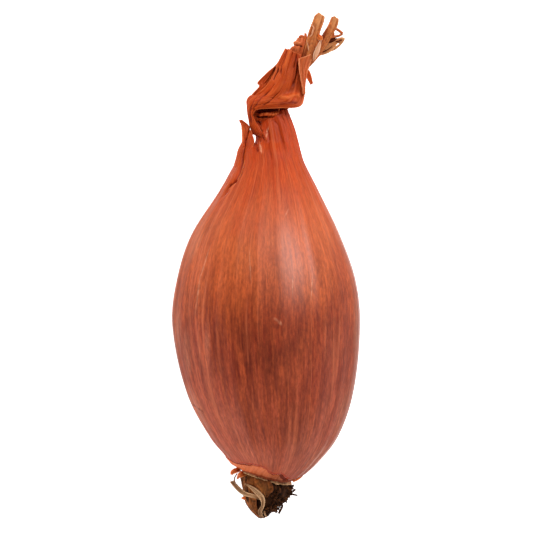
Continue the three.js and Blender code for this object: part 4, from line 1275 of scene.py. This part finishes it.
def neckCore():
    # the inner leaves, crushed between the two sheets
    piece = ringTower("neck_core", core["sides"], core["stations"], 4)
    closeEnds(piece)
    addModifier(piece, "SUBSURF", levels=2, render_levels=2)
    creases = []
    for vertex in piece.data.vertices:
        crumple = noise.noise(vertex.co / (1.1 * mm))
        vertex.co += Vector((crumple, 0, crumple)) * 0.25 * mm
        # the -0.25 gives the whole core painted shade, as it lies between the sheets
        creases.append(crumple * 0.3 - 0.25)
    storeField(piece, "creaseAndShade", creases)
    return finishPiece(piece, finishes["neckSkin"], "skin", "bulb")


neckCore()
print("neck done")


leafEnds = {
    "left_leaf_end": {
        "node": "leaf_stub_left",
        # y, x, z, half width, half height; the last rows go back in, so the end is open
        "stations": [
            (56.6, 7.9, 1.9, 1.0, 0.5), (58.4, 8.7, 2.2, 1.25, 0.6), (60.2, 9.5, 2.5, 1.4, 0.68),
            (62.0, 10.0, 2.8, 1.45, 0.7), (63.5, 10.4, 3.0, 1.33, 0.66), (65.2, 10.68, 3.1, 1.3, 0.7),
            (66.8, 11.15, 3.2, 1.32, 0.7), (68.7, 11.75, 3.2, 1.28, 0.65), (69.3, 11.85, 3.2, 1.1, 0.5),
            (68.6, 11.75, 3.2, 0.8, 0.3), (66.5, 11.25, 3.2, 0.5, 0.2),
        ],
        "shaded": 4,  # painted shade darkens the left side below this row
        # the peak is this far left of the middle, then how fast it falls to right and left
        "cut": (0.35, 0.62, 1.0),
    },
    "right_leaf_end": {
        "node": "leaf_stub_right",
        "stations": [
            (56.4, 8.2, 0.5, 0.7, 0.4), (58.4, 9.9, 0.7, 0.9, 0.5), (60.2, 11.2, 0.8, 1.1, 0.55),
            (62.0, 12.3, 1.0, 1.15, 0.62), (63.6, 13.2, 1.1, 1.2, 0.65), (65.2, 14.0, 1.2, 1.15, 0.62),
            (66.8, 14.8, 1.3, 1.05, 0.55), (68.2, 15.2, 1.3, 0.95, 0.5), (68.7, 15.3, 1.3, 0.8, 0.4),
            (68.1, 15.2, 1.3, 0.55, 0.25), (66.4, 14.7, 1.3, 0.3, 0.15),
        ],
        "shaded": 6, "cut": (0.2, 0.7, 0.5),
    },
}


def leafEnd(name, look):
    stations = look["stations"]
    piece = ringTower(name, 24, stations, 3)
    closeEnds(piece)
    addModifier(piece, "SUBSURF", levels=2, render_levels=2)
    grain = piece.data.attributes["grain"].data
    station = piece.data.attributes["station"].data
    creases, edges = [], []
    middle = [(i, y, x) for i, (y, x, *_) in enumerate(stations)]
    for vertex in piece.data.vertices:
        g = grain[vertex.index].vector
        row = station[vertex.index].value
        groove = waveAt(g.x / 1.1, g.y / 1.1, g.z / 14)
        groove += 0.5 * waveAt(g.x / 0.5, g.y / 0.5, g.z / 5)
        _, x = tableValue(middle, row, smooth=False)
        peak, right, left = look["cut"]
        beside = vertex.co.x / mm - x + peak
        slant = -(right if beside > 0 else left) * abs(beside) * smoothBetween(row, 4, 7)
        rough = 0.08 * noise.noise(Vector((g.x, g.y, 3)) * 1.3) * smoothBetween(row, 6, 7)
        vertex.co += Vector((g.x, 0, g.y)).normalized() * 0.12 * mm * groove + Vector(
            (0, (slant + rough) * mm, 0),
        )
        # painted shade on the left side below the shaded row, and inside the open end past the cut; paler
        # towards the tip
        shade = smoothBetween(row, look["shaded"], look["shaded"] - 2) * smoothBetween(beside, 0.3, -0.7)
        tip = smoothBetween(row, 4.5, 7) - 2.2 * smoothBetween(row, 8.2, 9.2)
        creases.append(0.3 * groove + 0.26 * tip - 0.4 * shade)
        edges.append(abs(row - 7.7) * 0.9)
    storeField(piece, "creaseAndShade", creases)
    storeField(piece, "edge", edges)
    return finishPiece(piece, finishes["dryLeaf"], "dry_leaf", look["node"])


for leafName, leafLook in leafEnds.items():
    leafEnd(leafName, leafLook)

leafSheets = {
    "frayed_leaf_end": {
        "rows": [
            [(7.5, 56.6, -0.6), (8.0, 57.3, -0.5), (8.5, 58.0, -0.6)],
            [(9.4, 58.6, -0.8), (9.7, 59.6, -0.5), (10.0, 60.4, -0.7)],
            [(11.4, 59.7, -0.5), (11.4, 61.0, -0.3), (11.8, 62.2, -0.8)],
            [(13.6, 60.3, 0.0), (13.4, 61.5, 0.1), (13.3, 62.7, -0.6)],
            [(15.0, 61.5, 0.0), (15.0, 62.3, 0.0), (14.9, 63.1, -0.5)],
            [(15.9, 62.6, -0.2), (15.9, 63.0, -0.2), (15.9, 63.4, -0.5)],
            [(17.1, 63.3, -0.5), (17.0, 63.5, -0.4), (16.9, 63.7, -0.5)],
        ],
        "faces": (36, 80), "thickness": 0.22, "folds": [(0.6, 8, 0.25, True), (0.3, 5, 0.12, True)],
        "tear": jagged(15, 0.12, 8), "finish": "frayedLeaf", "slot": "frayed_leaf", "node": "frayed_leaf",
    },
    "leaf_scrap": {
        "rows": [
            [(11.2, 64.2, 3.2), (11.7, 64.2, 3.5), (12.1, 64.0, 3.3)],
            [(11.3, 63.5, 3.3), (11.9, 63.5, 3.7), (12.5, 63.6, 3.4)],
            [(11.7, 62.8, 3.3), (12.0, 62.8, 3.6), (12.4, 62.9, 3.4)],
        ],
        "faces": (16, 24), "thickness": 0.2, "folds": [(0.5, 3, 0.16, True)], "tear": jagged(47, 0.15, 5),
        "finish": "looseSkin",
    },
    "pale_film": {
        "rows": [
            [(10.4, 58.5, 2.8), (10.6, 58.5, 2.7), (10.8, 58.8, 2.3)],
            [(10.4, 59.6, 3.2), (10.9, 59.7, 3.1), (11.4, 59.8, 2.5)],
            [(10.7, 60.6, 3.4), (11.2, 60.7, 3.3), (11.8, 60.7, 2.6)],
            [(11.2, 61.6, 3.5), (11.6, 61.8, 3.4), (12.1, 61.9, 2.8)],
            [(12.0, 63.0, 3.4), (12.2, 63.0, 3.3), (12.3, 63.0, 3.1)],
        ],
        "faces": (22, 44), "thickness": 0.15, "folds": [(0.6, 5, 0.14, True)], "finish": "paleFilm",
    },
}
buildSheets(leafSheets, "dry_leaf", "leaf_stub_left")

strand = strandModel()
# loose fibres: a path in mm, the radius along it, and how flat they are
leafFibres = {
    "frayed_fibres": {
        "finish": "frayedLeaf", "slot": "frayed_leaf", "node": "frayed_leaf",
        "paths": [
            (
                [
                    (13.2, 60.7, -0.6), (15.0, 61.35, -0.5), (15.9, 61.9, -0.4), (16.7, 62.6, -0.4),
                    (17.3, 63.5, -0.4),
                ],
                (0.4, 0.36, 0.28, 0.25), 0.6,
            ),
            ([(16.1, 62.7, -0.4), (16.6, 62.9, -0.3), (17.1, 63.3, -0.4)], (0.2, 0.28, 0.15), 0.6),
            (
                [(15.4, 63.2, -0.3), (16.2, 63.5, -0.2), (16.9, 63.7, -0.2), (17.5, 63.5, -0.3)],
                (0.3, 0.34, 0.26), 0.6,
            ),
            (
                [(12.4, 61.5, -0.2), (14.2, 62.2, -0.1), (16.0, 63.0, -0.1), (17.3, 63.5, -0.2)],
                (0.2, 0.22, 0.18), 0.6,
            ),
            ([(11.5, 60.2, -0.7), (13.6, 60.8, -0.6), (15.0, 61.5, -0.5)], (0.2, 0.2, 0.08), 0.8),
        ],
    },
    "frayed_loop": {
        "finish": "leafLoop", "slot": "frayed_leaf", "node": "frayed_leaf",
        "paths": [
            (
                [
                    (14.0, 64.0, 0.4), (14.9, 64.05, 0.3), (15.8, 64.15, 0.1), (16.6, 64.45, 0.1),
                    (17.0, 64.75, 0.1),
                ],
                (0.45, 0.3, 0.28), 0.8,
            ),
            (
                [
                    (17.0, 64.7, 0.1), (16.5, 65.15, 0.1), (15.9, 65.6, 0.1), (15.3, 65.75, 0.3),
                    (14.8, 65.5, 0.7),
                ],
                (0.36, 0.33, 0.36), 0.8,
            ),
            ([(14.6, 65.3, 0.7), (14.9, 64.7, 0.5), (14.8, 64.1, 0.3)], (0.36, 0.36, 0.36), 0.8),
        ],
    },
    # dark strands put where the frayed end lies in shade, as painted shade; the two thinnest are dark lines
    # along the blade
    "frayed_shade": {
        "finish": "leafShade", "slot": "frayed_leaf", "node": "frayed_leaf",
        "paths": [
            (
                [(12.8, 62.6, -0.6), (14.0, 63.1, -0.4), (15.0, 63.4, -0.3), (15.9, 63.6, -0.3)],
                (0.5, 0.5, 0.2), 0.6,
            ),
            ([(13.6, 63.6, -0.4), (14.6, 63.8, -0.3), (15.4, 63.8, -0.2)], (0.4, 0.35, 0.15), 0.6),
            ([(15.4, 62.9, 0.1), (16.2, 63.1, 0.1), (16.9, 63.3, 0.0)], (0.16, 0.16, 0.1), 0.6),
            ([(11.9, 60.4, 0.1), (13.4, 61.0, 0.35), (14.7, 61.9, 0.25)], (0.08, 0.1, 0.06), 0.6),
            ([(13.4, 62.2, 0.1), (14.4, 62.3, 0.2), (15.3, 62.6, 0.1)], (0.12, 0.12, 0.06), 0.6),
        ],
    },
    "leaf_wisps": {
        "finish": "paleFilm", "slot": "dry_leaf", "node": "leaf_stub_left",
        "paths": [
            (
                [
                    (9.9, 66.4, 3.6), (10.5, 65.7, 4.0), (10.3, 64.9, 4.0), (10.1, 64.1, 3.9),
                    (9.6, 63.6, 3.4),
                ],
                (0.16, 0.22, 0.16), 0.6,
            ),
            (
                [(9.3, 63.6, 3.0), (9.05, 62.8, 3.2), (9.25, 61.8, 3.3), (9.4, 60.6, 3.3)],
                (0.2, 0.18, 0.12), 0.6,
            ),
        ],
    },
    "top_spike": {
        "finish": "looseSkin", "slot": "skin", "node": "bulb",
        "paths": [([(8.6, 61.8, 2.5), (8.75, 63.2, 2.4), (8.7, 64.6, 2.1)], (0.5, 0.42, 0.3), 0.5)],
    },
}


def strandsPiece(name, look):
    joined = joinPieces(
        name, [strandCopy(strand, path, radii, flat) for path, radii, flat in look["paths"]],
    )
    return finishPiece(joined, finishes[look["finish"]], look["slot"], look["node"])


for fibreName, fibreLook in leafFibres.items():
    strandsPiece(fibreName, fibreLook)
print("leaf ends done")


plate = {
    # y, x, z, half width, half height
    "stations": [
        (-32.2, -0.4, 0, 3.8, 3.6), (-33.8, 0.1, 0, 5.3, 4.9), (-35.2, 0.4, 0, 5.6, 5.3),
        (-37.2, 0.1, 0, 4.9, 4.7), (-39.3, -0.4, 0, 3.8, 3.7), (-41.0, -0.6, 0, 2.6, 2.5),
        (-42.4, -0.6, 0, 1.2, 1.2), (-43.0, -0.6, 0, 0.35, 0.35),
    ],
    "sides": 48,
    # it is skewed as the base of the bulb is, and less from here on, towards its tip
    "skewFrom": -32, "skewOver": 11,
}


def plateSkew(x, y):
    return baseSkew(x) * max(0, 1 + (y - plate["skewFrom"]) / plate["skewOver"])


def platePoint(y, turn, out=0):
    # a point of the plate's surface, or out from it
    table = [(-station[0], station[1], station[3], station[4]) for station in plate["stations"]]
    x, wide, high = tableValue(table, -y)
    across = (wide + out) * math.cos(turn)
    return Vector((x + across, y + plateSkew(x + across, y), (high + out) * math.sin(turn)))


def plateLumps(x, y, z):
    point = Vector((x, y, z))
    return noise.noise(point / 1.3) * 0.3 + noise.noise(point / 0.6) * 0.2 + noise.noise(point / 0.3) * 0.08


def rootPlate():
    piece = ringTower("root_cone", plate["sides"], plate["stations"], 5)
    closeEnds(piece)
    addModifier(piece, "SUBSURF", levels=2, render_levels=2)
    grain = piece.data.attributes["grain"].data
    creases = []
    for vertex in piece.data.vertices:
        g = grain[vertex.index].vector
        local = vertex.co / mm
        skew = Vector((0, plateSkew(local.x, g.z), 0))
        lumps = plateLumps(*local)
        vertex.co += (Vector((g.x, 0, g.y)).normalized() * (lumps - 0.25) + skew) * mm
        # the lumps also drive painted shade in their hollows and a painted highlight on their tops
        creases.append(lumps)
    storeField(piece, "creaseAndShade", creases)
    return finishPiece(piece, finishes["rootCork"], "root", "root_plate")


rootPlate()


def plateRow(y, turns, out):
    return [tuple(platePoint(y, math.radians(turn), out)) for turn in turns]


plateSheets = {
    "plate_film": {
        # the brown film on its left, down to the tip
        "rows": [
            plateRow(-33.9, (200, 175, 150, 125, 100), 0.2),
            plateRow(-35.4, (198, 176, 152, 130, 104), 0.32),
            plateRow(-37.2, (196, 178, 154, 132, 108), 0.36),
            plateRow(-39.0, (196, 180, 158, 136, 114), 0.34),
            plateRow(-40.8, (200, 184, 162, 138, 116), 0.3),
            plateRow(-43.1, (210, 190, 165, 135, 100), 0.1),
        ],
        "faces": (60, 80), "thickness": 0.2, "folds": [(1.1, 3, 0.3, False), (0.5, 2, 0.16, False)],
        "tear": jagged(31, 0.06, 8), "finish": "plateFilm",
    },
    "plate_bark": {
        # an ochre scrap across the front
        "rows": [
            plateRow(-33.6, (122, 104, 88), 0.35), plateRow(-34.6, (120, 100, 80), 0.5),
            plateRow(-35.8, (116, 98, 78), 0.5), plateRow(-37.0, (108, 96, 84), 0.4),
            plateRow(-38.0, (100, 94, 88), 0.25),
        ],
        "faces": (40, 44), "thickness": 0.2, "folds": [(0.9, 2, 0.25, False), (0.4, 1.2, 0.12, False)],
        "tear": jagged(37, 0.15, 6), "finish": "plateFilm",
    },
    "plate_flake": {
        "rows": [
            [(-4.4, -38.6, 1.9), (-4.5, -38.2, 2.2), (-4.4, -37.7, 2.3)],
            [(-4.9, -38.6, 1.9), (-5.0, -38.2, 2.1), (-4.9, -37.9, 2.1)],
            [(-5.3, -38.4, 1.7), (-5.4, -38.3, 1.8), (-5.3, -38.1, 1.8)],
        ],
        "faces": (10, 14), "thickness": 0.2, "folds": [(0.4, 2, 0.1, True)], "finish": "looseSkin",
    },
}
buildSheets(plateSheets, "root", "root_plate")

rootTuft = {
    "count": 120, "from": -34.4, "to": -41.6, "turns": (-130, 86), "length": (0.4, 1.1),
    "radius": (0.12, 0.24), "seed": 7,
}
longRoots = [
    ([(3.0, -38.4, 0.6), (4.8, -37.7, 0.8), (6.5, -36.4, 1.0)], (0.34, 0.32, 0.26), 1),
    ([(3.0, -37.2, -0.8), (5.4, -37.6, -0.7), (7.0, -37.9, -0.6)], (0.3, 0.24, 0.18), 1),
    ([(1.6, -39.2, 1.4), (3.2, -39.7, 1.6), (3.6, -40.1, 1.6), (2.8, -41.7, 1.5)], (0.3, 0.28, 0.26), 1),
    ([(3.6, -38.0, 1.6), (4.1, -38.6, 1.8), (4.4, -39.0, 1.7)], (0.2, 0.14, 0.07), 1),
    ([(4.0, -36.4, 2.0), (4.8, -36.9, 2.1), (5.2, -37.0, 1.9)], (0.2, 0.12, 0.07), 1),
    ([(2.0, -38.9, 3.0), (2.9, -38.6, 3.1), (3.4, -39.2, 3.0)], (0.16, 0.12, 0.07), 1),
]


def shortRoots(count, seed, lengths, radii, bend):
    dice = random.Random(seed)
    paths = []
    for _ in range(count):
        y = mixed(rootTuft["from"], rootTuft["to"], dice.random() ** 0.8)
        turn = math.radians(dice.uniform(*rootTuft["turns"]))
        start = platePoint(y, turn, -0.5)
        outwards = (platePoint(y, turn, 1) - platePoint(y, turn)).normalized()
        lean = Vector((dice.uniform(-1, 1), dice.uniform(-1.2, 0.5), dice.uniform(-1, 1)))
        length = dice.uniform(*lengths) * mixed(0.45, 1, smoothBetween(-y, 35, 38.5))
        first = start + outwards * (0.5 + length * 0.4)
        end = first + (outwards * (1 - bend) + lean * bend).normalized() * length * 0.7
        end.y = max(end.y, -42.6)
        radius = dice.uniform(*radii)
        paths.append(([tuple(start), tuple(first), tuple(end)], (radius, radius * 0.9, radius * 0.45), 1))
    return paths


rootSets = {
    "root_tuft": {
        "finish": "darkRoot", "slot": "root", "node": "root_plate",
        "paths": shortRoots(
            rootTuft["count"], rootTuft["seed"], rootTuft["length"], rootTuft["radius"], 0.6,
        ) + longRoots,
    },
    "root_scars": {
        "finish": "rootScar", "slot": "root", "node": "root_plate",
        "paths": shortRoots(90, 19, (0.3, 0.8), (0.16, 0.3), 0.4),
    },
    "strap_fibres": {
        "finish": "rootStrap", "slot": "root_strap", "node": "root_straps",
        "paths": [
            (
                [(-6.4, -32.8, 1.8), (-7.0, -33.9, 1.7), (-6.8, -34.9, 2.0), (-6.1, -36.0, 2.3)],
                (0.14, 0.16, 0.12), 0.8,
            ),
            ([(-7.9, -34.4, 1.6), (-6.6, -35.8, 2.1), (-5.4, -36.9, 2.6)], (0.1, 0.16, 0.1), 0.8),
            ([(-1.1, -41.3, 2.7), (-0.9, -42.1, 2.2), (-0.3, -42.7, 1.3)], (0.2, 0.22, 0.12), 0.7),
            ([(-0.4, -41.0, 3.0), (-0.2, -41.9, 2.4), (0.2, -42.5, 1.4)], (0.18, 0.2, 0.12), 0.7),
        ],
    },
}
for rootName, rootLook in rootSets.items():
    strandsPiece(rootName, rootLook)
bpy.data.objects.remove(strand)

straps = {
    "front_strap": {
        "rows": [
            [(-4.1, -35.3, 4.4), (-4.3, -35.0, 4.5), (-4.7, -34.8, 4.2)],
            [(-2.7, -36.5, 4.7), (-2.4, -36.2, 5.0), (-2.1, -35.9, 5.2)],
            [(-1.3, -38.1, 4.6), (-0.9, -37.8, 4.9), (-0.5, -37.5, 5.1)],
            [(-1.0, -39.6, 3.9), (-0.7, -39.5, 4.2), (-0.35, -39.4, 4.2)],
            [(-1.7, -41.0, 2.8), (-1.3, -41.1, 3.0), (-0.9, -41.2, 3.0)],
            [(-1.4, -42.3, 1.6), (-1.0, -42.2, 1.9), (-0.6, -42.0, 2.0)],
        ],
        "faces": (22, 90), "thickness": 0.25, "folds": [(0.5, 9, 0.3, True), (0.25, 5, 0.1, True)],
        "tear": jagged(41, 0.08, 5), "finish": "rootStrap",
    },
    "left_strap": {
        "rows": [
            [(-8.0, -34.8, 1.6), (-7.7, -34.6, 1.8), (-7.3, -34.4, 1.7)],
            [(-6.5, -36.3, 2.3), (-6.2, -36.1, 2.5), (-5.8, -35.8, 2.5)],
            [(-5.0, -37.4, 2.6), (-4.7, -37.1, 2.9), (-4.3, -36.8, 3.1)],
            [(-3.2, -37.9, 3.6), (-3.0, -37.5, 4.0), (-2.8, -37.1, 4.3)],
            [(-1.3, -38.2, 4.4), (-1.2, -38.0, 4.6), (-1.1, -37.8, 4.8)],
        ],
        "faces": (20, 70), "thickness": 0.25, "folds": [(0.5, 9, 0.28, True), (0.25, 5, 0.1, True)],
        "grainShift": 20, "finish": "rootStrap",
    },
}
buildSheets(straps, "root_strap", "root_straps")
print("root plate done")


stage = {
    "floorSize": 3.0,
    # what the square picture takes in at the height of the bulb's axis
    "viewWidth": 118.4 * mm, "viewCentre": (0.1, 13.0), "lens": 150, "sensor": 36,
}


def buildFloor():
    deselectAll()
    bpy.ops.mesh.primitive_plane_add(size=stage["floorSize"])
    floor = bpy.context.object
    floor.name = "floor"
    material = bpy.data.materials.new("paleFloor")
    material.use_nodes = True
    shader = material.node_tree.nodes["Principled BSDF"]
    shader.inputs["Base Color"].default_value = (0.8, 0.8, 0.8, 1)
    shader.inputs["Roughness"].default_value = 0.9
    shader.inputs["Emission Color"].default_value = (1, 1, 1, 1)
    shader.inputs["Emission Strength"].default_value = 1.0
    floor.data.materials.append(material)
    floor.visible_glossy = False  # no white sheen from below on the sides


def addLight(name, position, size, power, mirrored=True):
    target = place(0, 10, 0)
    bpy.ops.object.light_add(type="AREA", location=position)
    light = bpy.context.object
    light.name = name
    light.rotation_euler = (Vector(position) - target).to_track_quat("Z", "Y").to_euler()
    light.data.shape = "RECTANGLE"
    light.data.size, light.data.size_y = size
    light.data.energy = power
    light.visible_camera = False
    light.visible_glossy = mirrored


def buildCamera():
    distance = stage["viewWidth"] * stage["lens"] / stage["sensor"]
    x, y = stage["viewCentre"]
    bpy.ops.object.camera_add(location=place(x, y, 0) + Vector((0, 0, distance)), rotation=(0, 0, 0))
    camera = bpy.context.object
    camera.data.lens = stage["lens"]
    camera.data.sensor_width = stage["sensor"]
    camera.data.clip_start = 0.01
    bpy.context.scene.camera = camera


buildFloor()
addLight("keyLight", (0.38, 0.42, 0.50), (0.36, 0.36), 3.3)
addLight("neckLight", (-0.1, 0.75, 0.50), (0.6, 0.6), 3.9, mirrored=False)
addLight("leftLight", (-0.54, -0.32, 0.14), (0.9, 0.24), 3.8, mirrored=False)
addLight("rightLight", (0.5, -0.42, 0.14), (0.9, 0.24), 1.7, mirrored=False)
buildCamera()

world = bpy.data.worlds.new("studio")
bpy.context.scene.world = world
world.use_nodes = True
world.node_tree.nodes["Background"].inputs["Color"].default_value = (1, 1, 1, 1)
world.node_tree.nodes["Background"].inputs["Strength"].default_value = 0.15
bpy.context.scene.view_settings.view_transform = "Standard"
print("stage ready")
